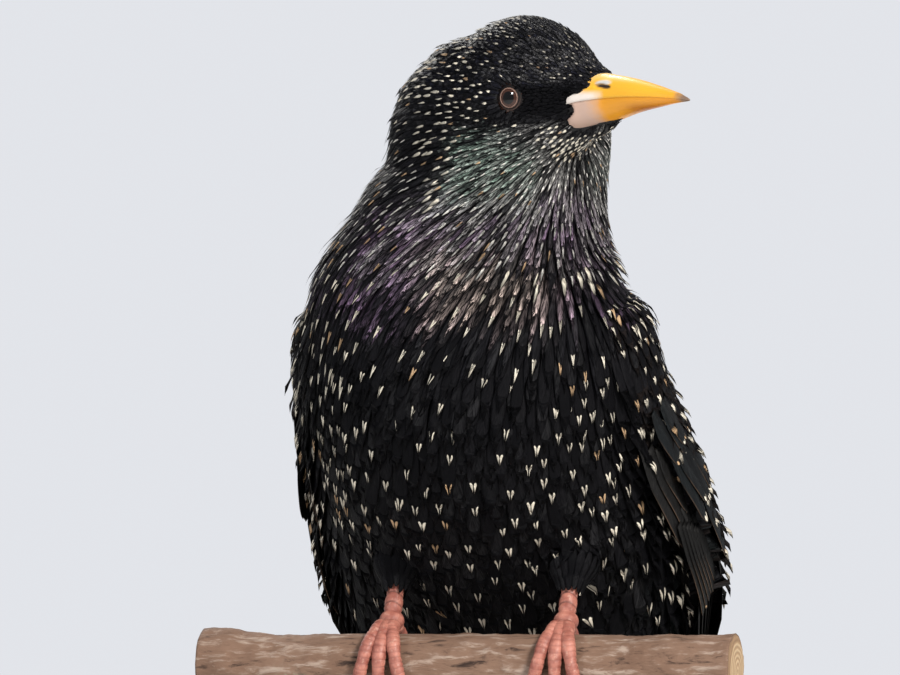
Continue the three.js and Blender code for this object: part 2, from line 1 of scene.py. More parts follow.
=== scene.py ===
# %% [markdown]
# A common starling in late winter, life size, in spotted plumage, gripping a cut twig over a round stand.
# The solids of the part are loaded first. They give the true sizes, so every piece here is made in the same
# frame: the bird's body faces -Y, its left side is +X and up is +Z. Sizes are thought of in millimetres.

# %% Load the solids
import math

import bpy
import numpy as np
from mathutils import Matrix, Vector
from mathutils.kdtree import KDTree


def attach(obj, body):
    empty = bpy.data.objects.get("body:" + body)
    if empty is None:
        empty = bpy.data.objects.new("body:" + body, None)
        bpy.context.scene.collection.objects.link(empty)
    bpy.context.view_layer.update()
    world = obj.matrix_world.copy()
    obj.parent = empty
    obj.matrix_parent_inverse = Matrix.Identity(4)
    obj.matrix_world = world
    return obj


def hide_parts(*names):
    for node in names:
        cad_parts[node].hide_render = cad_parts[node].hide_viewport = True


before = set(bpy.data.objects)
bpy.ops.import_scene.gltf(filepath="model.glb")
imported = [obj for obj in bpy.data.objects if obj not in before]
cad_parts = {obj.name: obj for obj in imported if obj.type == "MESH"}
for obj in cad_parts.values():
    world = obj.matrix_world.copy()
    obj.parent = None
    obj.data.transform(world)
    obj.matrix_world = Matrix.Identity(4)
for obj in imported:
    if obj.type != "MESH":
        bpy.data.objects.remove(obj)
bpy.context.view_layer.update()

MM = 0.001
rng = np.random.default_rng(20260117)

# %% [markdown]
# The body is drawn along one line from the tip of the tail to the hind crown. At each station the line has
# a place and three half sizes: to the side, to the back and to the belly. A smooth curve through them gives
# a section at any distance, and a point on the body is then a distance, an angle round it and a height over
# it. Feathers are laid with the same three numbers, which is how a taxidermist would speak of them.

# %% The body line
BODY_LINE = np.array([
    # x, y, z, side, back, front
    [0, 57.3, 22.8, 13, 1.4, 1.4], [0, 48.5, 40.7, 12.6, 1.6, 1.6], [0, 39.8, 58.7, 12, 2.6, 3.2],
    [0, 33.2, 72.2, 12.5, 4.6, 5.6], [0, 28.8, 81.2, 16, 8, 8.5], [0, 22.5, 92.6, 23.5, 12.5, 12],
    [0, 14.4, 107.4, 29, 18, 15.5], [0, 6, 122.3, 29.8, 22, 21], [0, -1, 133.7, 29.8, 23, 25.5],
    [0.2, -7.4, 144.2, 29.8, 22, 26], [0.8, -12.4, 156, 28.6, 20.5, 21.5], [3, -15, 167, 22.8, 17.5, 18],
    [5.5, -16, 176, 19.2, 15.5, 16], [6.4, -16.4, 185, 19.1, 14.8, 14], [6.5, -16.2, 192.5, 17, 13, 12],
    [6.3, -15.6, 199, 10.8, 9, 9],
])
STATION_AT = np.concatenate([[0], np.cumsum(np.linalg.norm(np.diff(BODY_LINE[:, :3], axis=0), axis=1))])
BODY_LENGTH = STATION_AT[-1]


def smooth_curve(points, t):
    """A curve through the points, even where they stand unevenly; t counts from 0 to the last point."""
    knots = np.vstack([2 * points[0] - points[1], points, 2 * points[-1] - points[-2]])
    t = np.clip(np.asarray(t, float), 0, len(points) - 1)
    i = np.minimum(t.astype(int), len(points) - 2)
    w = (t - i)[..., None]
    p0, p1, p2, p3 = (knots[i + k] for k in range(4))
    gap = [np.maximum(np.sum((b - a) ** 2, axis=-1, keepdims=True) ** 0.25, 1e-4)
           for a, b in ((p0, p1), (p1, p2), (p2, p3))]
    m1 = ((p1 - p0) / gap[0] - (p2 - p0) / (gap[0] + gap[1]) + (p2 - p1) / gap[1]) * gap[1]
    m2 = ((p2 - p1) / gap[1] - (p3 - p1) / (gap[1] + gap[2]) + (p3 - p2) / gap[2]) * gap[1]
    return p1 + m1 * w + (3 * (p2 - p1) - 2 * m1 - m2) * w ** 2 + (2 * (p1 - p2) + m1 + m2) * w ** 3


def unit(v):
    return v / np.maximum(np.linalg.norm(v, axis=-1, keepdims=True), 1e-9)


def way_of_line(distance, step):
    """The line's direction, towards the head, where a distance from the tail's tip is reached."""
    s = np.interp(distance, STATION_AT, np.arange(len(STATION_AT)))
    return unit(smooth_curve(BODY_LINE[:, :3], s + step) - smooth_curve(BODY_LINE[:, :3], s - step))


def section(distance):
    """Place, across, towards the back, and half sizes of the body at distances from the tail's tip."""
    s = np.interp(distance, STATION_AT, np.arange(len(STATION_AT)))
    place = smooth_curve(BODY_LINE[:, :3], s)
    along = way_of_line(distance, 0.01)
    across = unit(np.array([1.0, 0, 0]) - along * along[..., :1])
    return place, across, np.cross(along, across), smooth_curve(BODY_LINE[:, 3:], s)


def on_body(distance, degrees, lift=0.0):
    """A point of the body: 0 degrees is its left flank, 90 the back, -90 the belly, 180 the right flank."""
    place, across, back, size = section(distance)
    c, s = np.cos(np.radians(degrees)), np.sin(np.radians(degrees))
    depth = np.where(s > 0, size[..., 1], size[..., 2]) + lift
    return place + across * ((size[..., 0] + lift) * c)[..., None] + back * (depth * s)[..., None]


def body_place(points, stations=320):
    """The nearest distance along the line and the angle round it, for many points at once."""
    marks = np.linspace(0, BODY_LENGTH, stations)
    place, across, back, size = section(marks)
    nearest = np.array([np.argmin(((place - p) ** 2).sum(1)) for p in points])
    off = points - place[nearest]
    c = (off * across[nearest]).sum(1) / size[nearest, 0]
    s = (off * back[nearest]).sum(1)
    s = s / np.where(s > 0, size[nearest, 1], size[nearest, 2])
    return marks[nearest], np.degrees(np.arctan2(s, c))


print("body line:", round(BODY_LENGTH, 1), "mm, greatest width", round(2 * BODY_LINE[:, 3].max(), 1), "mm")

# %% [markdown]
# The head has its own frame, because it is turned to the bird's left. Its origin lies midway between the
# eyes, f runs forward along the bill, left and up are the other two. The skull's sections are ellipses
# across that direction, with more depth below than above, where the cheeks and throat feathers are.

# %% The head's frame
HEAD_TURN = math.radians(57)
HEAD_PLACE = np.array([17.3, -24, 190.4])
FORWARD = np.array([math.sin(HEAD_TURN), -math.cos(HEAD_TURN), 0])
LEFTWARD = np.array([math.cos(HEAD_TURN), math.sin(HEAD_TURN), 0])
UP = np.array([0, 0, 1.0])
HEAD_SECTIONS = np.array([
    # forward, half width, top, bottom
    [-18.5, 7.5, 7.5, 12], [-15, 10.6, 11.2, 14], [-10, 12.3, 13.3, 14.6], [-5, 11.9, 13.7, 14.2],
    [0, 10.5, 12.3, 12.8], [3.4, 8.6, 10.8, 10.9], [6, 6.6, 9.1, 9.3], [8.4, 5.1, 7.3, 8],
    [10.6, 4.3, 5.6, 6.6], [12.6, 3.3, 4.4, 5.2],
])
EYE_RADIUS, EYE_BACK, EYE_OUT, EYE_UP, EYE_TURN = 4.2, 0.6, 6.2, -0.3, math.radians(16)
SIDES = {"left": 1, "right": -1}


def in_head(f, left, up):
    f, left, up = (np.asarray(v, float)[..., None] for v in (f, left, up))
    return HEAD_PLACE + f * FORWARD + left * LEFTWARD + up * UP


def to_head(points):
    off = points - HEAD_PLACE
    return np.stack([off @ FORWARD, off @ LEFTWARD, off @ UP], axis=-1)


BILL_BASE = in_head(9, 0, -0.4)
LIE_START = in_head(18, 0, 0.5)
EYE_PLACE = {side: in_head(-EYE_BACK, sign * EYE_OUT, EYE_UP) for side, sign in SIDES.items()}
EYE_AXIS = {side: unit(FORWARD * math.sin(EYE_TURN) + sign * LEFTWARD * math.cos(EYE_TURN))
            for side, sign in SIDES.items()}


def from_eye(points, side):
    """How far each point lies out along an eye's axis, and the way from that axis to the point."""
    off = points - EYE_PLACE[side]
    out = off @ EYE_AXIS[side]
    return out, off - out[:, None] * EYE_AXIS[side]


print("eyes in mm:", {side: p.round(1).tolist() for side, p in EYE_PLACE.items()})

# %% [markdown]
# Small helpers turn lists of points into pieces: a mesh from points in millimetres, a loft over rings, values
# and flat maps kept on a mesh for its material to read, and a last step that lets a piece ride on the stand's
# one body and stand for its solids, which it hides.


# %% Helpers for shapes
def full_turn(count):
    """Angles of the corners of a ring."""
    return np.linspace(0, 2 * math.pi, count, endpoint=False)


def soft_step(x, low, high):
    t = np.clip((x - low) / (high - low), 0, 1)
    return t * t * (3 - 2 * t)


def sway(points, seed, size):
    """A smooth wandering value from about -1 to 1, for tones that drift over the body."""
    r = np.random.default_rng(seed)
    waves = r.normal(size=(6, 3)) / size
    turns = r.uniform(0, 2 * math.pi, 6)
    return np.sin(np.asarray(points) @ waves.T + turns).sum(-1) / 3


def grid_faces(rows, columns, closed=False, start=0):
    r, c = np.meshgrid(np.arange(rows - 1), np.arange(columns if closed else columns - 1), indexing="ij")
    a = start + r * columns + c
    b = start + r * columns + (c + 1) % columns
    return np.stack([a, b, b + columns, a + columns], axis=-1).reshape(-1, 4)


def loft(rings):
    """Points and outward faces of a closed body over rings of as many points each."""
    rings = np.asarray(rings, float)
    rows, columns = rings.shape[:2]
    points = np.vstack([rings.reshape(-1, 3), rings[0].mean(0), rings[-1].mean(0)])
    first, last = rows * columns, rows * columns + 1
    faces = grid_faces(rows, columns, closed=True).tolist()
    faces += [[(c + 1) % columns, c, first] for c in range(columns)]
    end = (rows - 1) * columns
    faces += [[end + c, end + (c + 1) % columns, last] for c in range(columns)]
    corners = np.array([face[:3] for face in faces])
    a, b, c = (points[corners[:, k]] - points.mean(0) for k in range(3))
    inside_out = (a * np.cross(b, c)).sum() < 0
    return points, [face[::-1] for face in faces] if inside_out else faces


def ball(middle, radius, axis, side, up, bands, columns, pole_gap):
    """A lofted ball round an axis; pole_gap is the angle between a pole and the ring next to it."""
    lat = np.linspace(pole_gap, math.pi - pole_gap, bands)[:, None, None]
    lon = full_turn(columns)[None, :, None]
    around = np.cos(lon) * side + np.sin(lon) * up
    return loft(middle + radius * (np.cos(lat) * axis + np.sin(lat) * around))


def join_shapes(shapes):
    points, faces, count = [], [], 0
    for p, f in shapes:
        points.append(p)
        faces += [[i + count for i in face] for face in f]
        count += len(p)
    return np.vstack(points), faces


# %% Helpers for pieces
def mesh_piece(name, points, faces, material=None, smooth=True):
    mesh = bpy.data.meshes.new(name)
    mesh.from_pydata((np.asarray(points) * MM).tolist(), [], [list(map(int, f)) for f in faces])
    mesh.update()
    mesh.shade_smooth() if smooth else mesh.shade_flat()
    piece = bpy.data.objects.new(name, mesh)
    bpy.context.scene.collection.objects.link(piece)
    if material:
        mesh.materials.append(material)
    return piece


def read_points(piece, what):
    values = np.zeros(len(piece.data.vertices) * 3, np.float32)
    piece.data.vertices.foreach_get(what, values)
    return values.reshape(-1, 3).astype(float)


def mesh_points(piece):
    return read_points(piece, "co") / MM


def move_points(piece, points):
    piece.data.vertices.foreach_set("co", (points * MM).astype(np.float32).ravel())
    piece.data.update()


def keep_values(piece, label, values):
    """Keep a number or a vector at each point, under a name that nodes can read."""
    values = np.asarray(values)
    whole = values.dtype.kind == "i"
    kind, field = ("FLOAT_VECTOR", "vector") if values.ndim == 2 else ("INT" if whole else "FLOAT", "value")
    layer = piece.data.attributes.new(label, kind, "POINT").data
    layer.foreach_set(field, values.astype(np.int32 if whole else np.float32).ravel())


def face_corners(piece):
    """The number of the point at each corner of each face."""
    corners = np.zeros(len(piece.data.loops), np.int32)
    piece.data.loops.foreach_get("vertex_index", corners)
    return corners


def keep_map(piece, label, corner_places):
    layer = piece.data.uv_layers.new(name=label)
    layer.data.foreach_set("uv", corner_places.astype(np.float32).ravel())


def frozen(piece, name):
    """The piece as a plain mesh, with its modifiers worked in."""
    bpy.context.view_layer.update()
    evaluated = piece.evaluated_get(bpy.context.evaluated_depsgraph_get())
    mesh = bpy.data.meshes.new_from_object(evaluated)
    mesh.name = name
    piece.modifiers.clear()
    done = bpy.data.objects.new(name, mesh)
    bpy.context.scene.collection.objects.link(done)
    bpy.data.objects.remove(piece)
    return done


def finished(piece, slot, *nodes):
    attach(piece, "root")
    if nodes:
        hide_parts(*nodes)
    piece.data.calc_loop_triangles()
    print(piece.name, len(piece.data.loop_triangles), "triangles")


# %% [markdown]
# Nodes are wired with a few short words, so that a material reads almost like a sum. Masks and colours may
# leave a node group, while the shader itself stays in each material, so that the finish can be exported.


# %% Node helpers
class Nodes:
    """Short words for making and joining the nodes of one tree."""

    def __init__(self, tree):
        self.tree = tree

    def add(self, kind, inputs=None, **settings):
        node = self.tree.nodes.new(kind)
        for key, value in settings.items():
            setattr(node, key, value)
        for key, value in (inputs or {}).items():
            self.feed(value, node.inputs[key])
        return node

    def feed(self, value, socket):
        if isinstance(value, bpy.types.NodeSocket):
            self.tree.links.new(value, socket)
        else:
            socket.default_value = value

    def math(self, what, *values, clamp=False):
        return self.add("ShaderNodeMath", dict(enumerate(values)), operation=what, use_clamp=clamp).outputs[0]

    def plus(self, a, b):
        return self.math("ADD", a, b)

    def minus(self, a, b):
        return self.math("SUBTRACT", a, b)

    def over(self, a, b):
        return self.math("DIVIDE", a, b)

    def unsigned(self, a):
        return self.math("ABSOLUTE", a)

    def times(self, product, *more, clamp=False):
        for value in more[:-1]:
            product = self.math("MULTIPLY", product, value)
        return self.math("MULTIPLY", product, more[-1], clamp=clamp)

    def greatest(self, most, *more):
        for value in more:
            most = self.math("MAXIMUM", most, value)
        return most

    def vector(self, what, a, b=None, gives="Vector"):
        node = self.add("ShaderNodeVectorMath", {0: a} if b is None else {0: a, 1: b}, operation=what)
        return node.outputs[gives]

    def split(self, vector):
        return self.add("ShaderNodeSeparateXYZ", {"Vector": vector}).outputs

    def joined(self, x=0.0, y=0.0, z=0.0):
        return self.add("ShaderNodeCombineXYZ", {0: x, 1: y, 2: z}).outputs[0]

    def ramp(self, value, low, high, to_low=0.0, to_high=1.0):
        """A soft rise, or fall, between two values."""
        node = self.add("ShaderNodeMapRange", {"Value": value, "From Min": low, "From Max": high,
                                               "To Min": to_low, "To Max": to_high},
                        interpolation_type="SMOOTHSTEP")
        return node.outputs["Result"]

    def fade(self, value, low, high):
        return self.ramp(value, low, high, 1.0, 0.0)

    def near(self, value, middle, inner, outer, rest=0.0):
        """1 within the inner distance from the middle, and rest past the outer one."""
        return self.ramp(self.unsigned(self.minus(value, middle)), inner, outer, 1.0, rest)

    def mix(self, share, a, b):
        node = self.add("ShaderNodeMix", data_type="RGBA")
        for value, number in ((share, 0), (a, 6), (b, 7)):
            self.feed(value, node.inputs[number])
        return node.outputs[2]

    def noise(self, vector, scale, detail=3.0, roughness=0.55, distortion=0.0):
        node = self.add("ShaderNodeTexNoise", {"Vector": vector, "Scale": scale, "Detail": detail,
                                               "Roughness": roughness, "Distortion": distortion})
        return node.outputs["Fac"]

    def object_place(self):
        return self.add("ShaderNodeTexCoord").outputs["Object"]

    def stretched(self, place, scale, turn=(0, 0, 0), shift=(0, 0, 0)):
        return self.add("ShaderNodeMapping", {"Vector": place, "Location": shift, "Rotation": turn,
                                              "Scale": scale}).outputs[0]

    def read(self, name, gives="Fac"):
        return self.add("ShaderNodeAttribute", attribute_name=name).outputs[gives]

    def bump(self, shader, height, strength, depth):
        node = self.add("ShaderNodeBump", {"Strength": strength, "Distance": depth, "Height": height})
        self.feed(node.outputs[0], shader.inputs["Normal"])


FLOAT, VECTOR, COLOUR = "NodeSocketFloat", "NodeSocketVector", "NodeSocketColor"


def new_group(name, inputs, outputs):
    """inputs hold a name, a kind and a value to start from; outputs a name and a kind."""
    tree = bpy.data.node_groups.new(name, "ShaderNodeTree")
    for label, kind, value in inputs:
        socket = tree.interface.new_socket(label, in_out="INPUT", socket_type=kind)
        if value is not None:
            socket.default_value = value
    for label, kind in outputs:
        tree.interface.new_socket(label, in_out="OUTPUT", socket_type=kind)
    n = Nodes(tree)
    return tree, n, n.add("NodeGroupInput").outputs, n.add("NodeGroupOutput").inputs


def new_material(name, roughness, metallic=0.0, **constants):
    material = bpy.data.materials.new(name)
    material.use_nodes = True
    shader = material.node_tree.nodes["Principled BSDF"]
    for key, value in {"Roughness": roughness, "Metallic": metallic, **constants}.items():
        shader.inputs[key.replace("_", " ")].default_value = value
    return material, Nodes(material.node_tree), shader


def use_group(n, tree, **inputs):
    return n.add("ShaderNodeGroup", {key.replace("_", " "): value for key, value in inputs.items()},
                 node_tree=tree).outputs


print("node words:", [word for word in vars(Nodes) if not word.startswith("_")])

# %% [markdown]
# Every feather, small or large, carries the same little map: across the vane from edge to edge, and along it
# from root to tip. One node group reads that map and gives the masks that all the plumage shares: the pale
# mark at the tip, a V or, with no spread, a drop; the soft frayed fringe; and the fine ribbing of the barbs.

# %% The vane's masks
vane_marks, n, given, out = new_group("vane marks", [
    ("Map", VECTOR, None), ("Edge", FLOAT, 0.0), ("Barbs", FLOAT, 24.0), ("Slant", FLOAT, 0.4),
    ("Mark Width", FLOAT, 0.16), ("Mark Start", FLOAT, 0.84), ("Mark Spread", FLOAT, 2.4),
    ("Fringe From", FLOAT, 0.55), ("Random", FLOAT, 0.5),
], [("Mark", FLOAT), ("Fringe", FLOAT), ("Barb", FLOAT), ("Tip", FLOAT)])
from_edge, along, _ = n.split(given["Map"])
side = n.minus(n.times(from_edge, 2.0), 1.0)
across = n.unsigned(side)
own = n.times(given["Random"], 50.0)
wobble = n.minus(n.noise(n.joined(side, along, own), 7.0, 3.0), 0.5)
# the two strokes of the V close toward the tip, and each is an oval round its own middle
stroke = n.times(n.math("POWER", n.minus(1.02, along), 0.6), given["Mark Spread"])
stroke_width = n.times(given["Mark Width"], n.ramp(given["Random"], 0.0, 1.0, 0.65, 1.3))
off_stroke = n.over(n.minus(across, stroke), stroke_width)
middle = n.times(n.plus(given["Mark Start"], 0.985), 0.5)
off_middle = n.over(n.minus(along, middle), n.times(n.minus(1.0, given["Mark Start"]), 0.5))
off_oval = n.math("SQRT", n.plus(n.times(off_stroke, off_stroke), n.times(off_middle, off_middle)))
n.feed(n.fade(n.plus(off_oval, n.times(wobble, 0.9)), 0.72, 1.02), out["Mark"])
n.feed(n.times(n.ramp(given["Edge"], given["Fringe From"], 1.0), n.ramp(along, 0.3, 0.75)), out["Fringe"])
barb_line = n.minus(along, n.times(across, given["Slant"]))
barb_seat = n.joined(n.times(barb_line, given["Barbs"]), n.times(side, 2.0), own)
n.feed(n.noise(barb_seat, 1.3, 4.0, 0.6), out["Barb"])
n.feed(n.ramp(along, 0.55, 1.0), out["Tip"])
print("group:", vane_marks.name)

# %% [markdown]
# On the bird the gloss of a starling is not a paint: fine layers in the barbs reflect green, violet or
# bronze, and the rest of the feather is almost black. Here that reflection is painted into the feathers'
# colour as sheen.
# Each part of the body gets a gloss colour, with a little metal in it, worked out from the place on the body:
# green on the cheek, violet across the upper breast, a creamy bronze at its middle, near black on the belly
# and dark blue on the crown. Behind, it is faintly green below and violet above. The same group serves the
# skin and every feather, so they carry one pattern. It also tells where painted sheen turns the strands
# silvery grey, and where the plumage is velvet black.

# %% Tints by place on the body, and where sheen is painted
BREAST, HACKLES, CROWN = (151, 157), (168, 177), (187, 193)
BELLY_TINT, GREEN, VIOLET = (0.04, 0.045, 0.05, 1), (0.35, 0.5, 0.42, 1), (0.43, 0.28, 0.46, 1)
# the grey among these tints is painted sheen on the neck and throat
BRONZE, SHEEN_GREY, NAVY = (0.86, 0.69, 0.62, 1), (0.3, 0.3, 0.3, 1), (0.016, 0.02, 0.055, 1)
RUMP_TINT, MANTLE_TINT = (0.05, 0.11, 0.07, 1), (0.1, 0.07, 0.17, 1)
place_tints, n, given, out = new_group("place tints", [("Place", VECTOR, None)], [
    ("Gloss", COLOUR), ("Strength", FLOAT), ("Painted Sheen", FLOAT), ("Velvet", FLOAT)])
place = given["Place"]
x, y, z = (n.times(part, 1 / MM) for part in n.split(place))
off = n.vector("SUBTRACT", place, tuple(HEAD_PLACE * MM))
f, left, h = (n.vector("DOT_PRODUCT", off, tuple(way / MM), "Value") for way in (FORWARD, LEFTWARD, UP))
left = n.unsigned(left)
drift = n.times(n.minus(n.noise(place, 80.0, 3.0), 0.5), 16.0)
height = n.plus(z, drift)
# the gloss, in bands from the belly up to the crown
on_breast, on_crown = n.ramp(height, *BREAST), n.ramp(height, *CROWN)
belt = n.times(n.ramp(height, 151, 156), n.fade(height, 161, 166), n.near(x, 8.0, 5, 15))
off_cheek = n.vector("LENGTH", n.joined(n.plus(f, 4.0), 0.0, n.plus(h, 11.0)), None, "Value")
cheek = n.times(n.fade(n.plus(off_cheek, drift), 3, 11), n.ramp(left, 2, 6))
colour = n.mix(on_breast, BELLY_TINT, VIOLET)
colour = n.mix(belt, colour, BRONZE)
# up the neck and throat the gloss turns grey: painted sheen
colour = n.mix(n.ramp(height, 170, 177), colour, SHEEN_GREY)
colour = n.mix(cheek, colour, GREEN)
colour = n.mix(on_crown, colour, NAVY)
behind = n.ramp(y, 0, 20)
rear = n.mix(n.ramp(height, 108, 150), RUMP_TINT, MANTLE_TINT)
n.feed(n.mix(behind, colour, rear), out["Gloss"])
# how strong the painted sheen of the gloss is: in patches, and most on the front of the breast
patch = n.ramp(n.noise(place, 170.0, 4.0), 0.38, 0.66)
violet = n.times(on_breast, n.fade(height, *HACKLES), n.near(x, 4.0, 15, 22, 0.12), n.plus(patch, 0.1))
n.feed(n.greatest(violet, n.times(cheek, 0.85), n.times(on_crown, 0.5), n.times(behind, patch, 0.6),
                  n.times(belt, 0.9)), out["Strength"])
# painted sheen: silvery grey strands on cheek, throat and brow; and the black wedge between eye and bill
low_cheek = n.fade(n.plus(h, n.times(drift, 0.15)), -5.8, -3.4)
throat = n.times(low_cheek, n.ramp(n.minus(f, n.plus(h, 5.0)), -5.0, -0.5), n.ramp(h, -33, -24))
brow = n.times(n.near(h, 3.7, 0.5, 2.2), n.ramp(left, 3, 6), n.ramp(f, -7, -2), n.ramp(f, 7, 11, 0.6, 0.0))
forehead = n.times(n.ramp(f, -6, 2), n.ramp(h, 3, 6), 0.4)
n.feed(n.greatest(throat, brow, forehead), out["Painted Sheen"])
wedge = n.times(n.near(h, -0.7, 1.7, 3.2), n.ramp(left, 1.5, 3))
n.feed(n.times(wedge, n.ramp(f, 0.6, 2.4), n.fade(f, 10, 13)), out["Velvet"])
print("group:", place_tints.name)

# %% [markdown]
# Every feather has one tint, taken at a seat near its middle, and a few random shares of its own, so the
# colours change feather by feather as on the bird, and not like paint sprayed across the coat. One function
# makes all the finishes: they differ in the ribbing, the mark at the tip, the fringe, and the gloss and grey
# strands painted in as sheen.

# %% Feather materials
BLACK, COAL = (0.0016, 0.0016, 0.0024, 1), (0.011, 0.0108, 0.0135, 1)
CREAM, BUFF, TAWNY = (0.8, 0.74, 0.62, 1), (0.2, 0.125, 0.08, 1), (0.55, 0.37, 0.22, 1)
# the pale strand grey is painted sheen on silvery strands
SMOKE, SHEEN_STRAND_GREY = (0.1, 0.1, 0.105, 1), (0.6, 0.59, 0.575, 1)


def feather_material(name, barbs, slant, mark, base=(BLACK, COAL), tip=CREAM, fringe=COAL, fringe_share=0.4,
                     fringe_from=0.55, gloss=1.0, rough=0.5, sheen_share=0.8, specular=0.06):
    """mark holds the start, half width and spread of the pale tip; sheen_share is how far strands turn grey
    as painted sheen.
    """
    material, n, shader = new_material(name, rough, Specular_IOR_Level=specular)
    random, marked, warm, edge = (n.read(label) for label in ("random", "mark", "warm", "edge_share"))
    vane = use_group(n, vane_marks, Map=n.add("ShaderNodeUVMap", uv_map="Vane").outputs[0], Edge=edge,
                     Barbs=barbs, Slant=slant, Mark_Start=mark[0], Mark_Width=mark[1], Mark_Spread=mark[2],
                     Fringe_From=fringe_from, Random=random)
    tint = use_group(n, place_tints, Place=n.read("seat", "Vector"))
    second, third = (n.math("FRACT", n.times(random, k)) for k in (17.3, 41.7))
    heart = n.ramp(edge, 0.35, 0.95, 1.0, 0.12)
    strand = n.ramp(vane["Barb"], 0.4, 0.62)
    plain = n.minus(1.0, tint["Velvet"])
    # black strands of several depths, a fringe, a few smoky feathers, then the gloss, painted in as sheen
    tone = n.mix(n.times(strand, plain, n.ramp(random, 0.0, 1.0, 0.1, 0.9)), *base)
    colour = n.mix(n.times(vane["Fringe"], plain, fringe_share), tone, fringe)
    smoke = n.times(n.ramp(third, 0.55, 1.0), plain, strand, heart, 0.14)
    colour = n.mix(smoke, colour, SMOKE)
    # painted sheen: the gloss colour is mixed into the base colour, with a little metal
    shine = n.times(tint["Strength"], plain, gloss, clamp=True)
    shine = n.times(shine, n.ramp(vane["Tip"], 0.0, 0.6, 0.35, 1.0), strand,
                    n.ramp(second, 0.2, 0.75, 0.04, 1.0), heart)
    colour = n.mix(shine, colour, tint["Gloss"])
    # painted sheen: grey strands, most toward the tip
    grey = n.times(tint["Painted Sheen"], sheen_share, n.ramp(vane["Tip"], 0.0, 0.9, 0.25, 1.0), plain, strand,
                   n.ramp(third, 0.1, 0.75, 0.08, 1.0), heart, 1.5, clamp=True)
    sheen_strand = n.mix(n.times(tint["Strength"], 0.6), SHEEN_STRAND_GREY, tint["Gloss"])
    colour = n.mix(grey, colour, sheen_strand)
    # the pale mark lies over all
    mask = n.times(vane["Mark"], marked, clamp=True)
    n.feed(n.mix(mask, colour, n.mix(warm, tip, TAWNY)), shader.inputs["Base Color"])
    n.feed(n.times(shine, 0.3, n.minus(1.0, mask)), shader.inputs["Metallic"])
    strand_rough = n.ramp(strand, 0.0, 1.0, rough + 0.1, rough - 0.06)
    n.feed(n.ramp(mask, 0.0, 1.0, strand_rough, 0.7), shader.inputs["Roughness"])
    n.bump(shader, vane["Barb"], 0.55, 0.00015)
    return material


FINISH = {
    "face": feather_material("face feathers", 9.0, 0.35, (0.64, 0.46, 0.0)),
    "throat": feather_material("throat hackles", 11.0, 0.3, (0.78, 0.3, 0.0), sheen_share=1.0,
                               tip=(0.72, 0.7, 0.66, 1)),
    "neck": feather_material("neck hackles", 14.0, 0.35, (0.82, 0.24, 0.55), sheen_share=0.9, gloss=1.7),
    "body": feather_material("body feathers", 30.0, 0.42, (0.855, 0.15, 0.95), fringe=BLACK, fringe_share=0.7,
                             fringe_from=0.5, rough=0.6, base=(BLACK, (0.0085, 0.0082, 0.01, 1))),
    "shoulder": feather_material("shoulder feathers", 30.0, 0.42, (0.81, 0.2, 0.6), fringe=BUFF,
                                 fringe_share=0.03, rough=0.58),
    "covert": feather_material("wing coverts", 40.0, 0.5, (0.9, 0.12, 0.8), fringe=BUFF, fringe_share=0.4,
                               fringe_from=0.88, gloss=0.8, specular=0.12,
                               base=((0.002, 0.0022, 0.0028, 1), (0.011, 0.0145, 0.0165, 1))),
    "flight": feather_material("flight feathers", 110.0, 0.12, (0.965, 0.25, 1.6), fringe=BUFF,
                               fringe_share=0.6, fringe_from=0.9, tip=(0.3, 0.2, 0.13, 1), gloss=0.3,
                               sheen_share=0.0, specular=0.14,
                               base=((0.002, 0.0019, 0.0021, 1), (0.014, 0.0135, 0.0135, 1))),
}
downy_skin, n, shader = new_material("downy skin", 0.6)
place = n.object_place()
zone = use_group(n, place_tints, Place=place)
# the skin takes a faint painted sheen of the same gloss
n.feed(n.mix(n.times(zone["Strength"], 0.1), BLACK, zone["Gloss"]), shader.inputs["Base Color"])
n.bump(shader, n.noise(place, 900.0, 4.0), 0.5, 0.0004)
print("feather finishes:", [finish.name for finish in FINISH.values()])

# %% [markdown]
# The skin is one closed form under the plumage: trunk, skull, both thighs and the fleshy part of each folded
# wing. Each is lofted from the same sections as the solids. Small balls beside the horn stand for the places
# where feathers creep over the bill.

# %% The shapes under the skin
TAIL_ROOT = 55.0
WRIST, ARM_END, ARM_SKIN, ARM_HEIGHT = 155.0, 86.0, 0.2, 2.6
EDGE_ANGLE, EDGE_DROP = 14, 34
HANG = {"left": 4.0, "right": 0.0}
LEG_LEAN = math.radians(62)
LEG_LINE = np.array([0, math.cos(LEG_LEAN), math.sin(LEG_LEAN)])
PERCH_Y, PERCH_TOP, PERCH_RADIUS = -12.0, 101.0, 6.0
ANKLE_BACK, ANKLE_RISE = 0.5, 2.6     # how far behind the perch's middle and over its top
FOOT_X = {"left": 16.5, "right": -13.5}
THIGH_AT, THIGH_RADII = np.array([5.9, 8, 11, 15, 20]), [2.1, 3.6, 5.2, 6.4, 6.6]
# forward, left, up and radius: beside the ridge up to the nostrils, and along the middle of the chin
BROW_PADS = [
    (8.2, 4.2, -0.4, 1.3), (9.6, 4.1, 0.6, 1.3), (11, 3.7, 1.3, 1.2), (12.3, 3.3, 1.6, 1.0),
    (13.3, 3, 1.6, 0.8), (9, 2.6, 2.9, 1.6), (10.6, 2.2, 3.4, 1.4), (11.8, 1.7, 3.6, 1.1),
    (13, 1.0, 3.6, 0.9), (14.2, 0.4, 3.4, 0.8),
]
CHIN_PADS = [
    (9, 0, -4.6, 3.0), (11, 0, -4.6, 2.6), (13, 0, -4.2, 2.3), (15, 0, -3.8, 1.7), (16.8, 0, -3.5, 1.2),
    (18, 0, -3.3, 0.8),
]


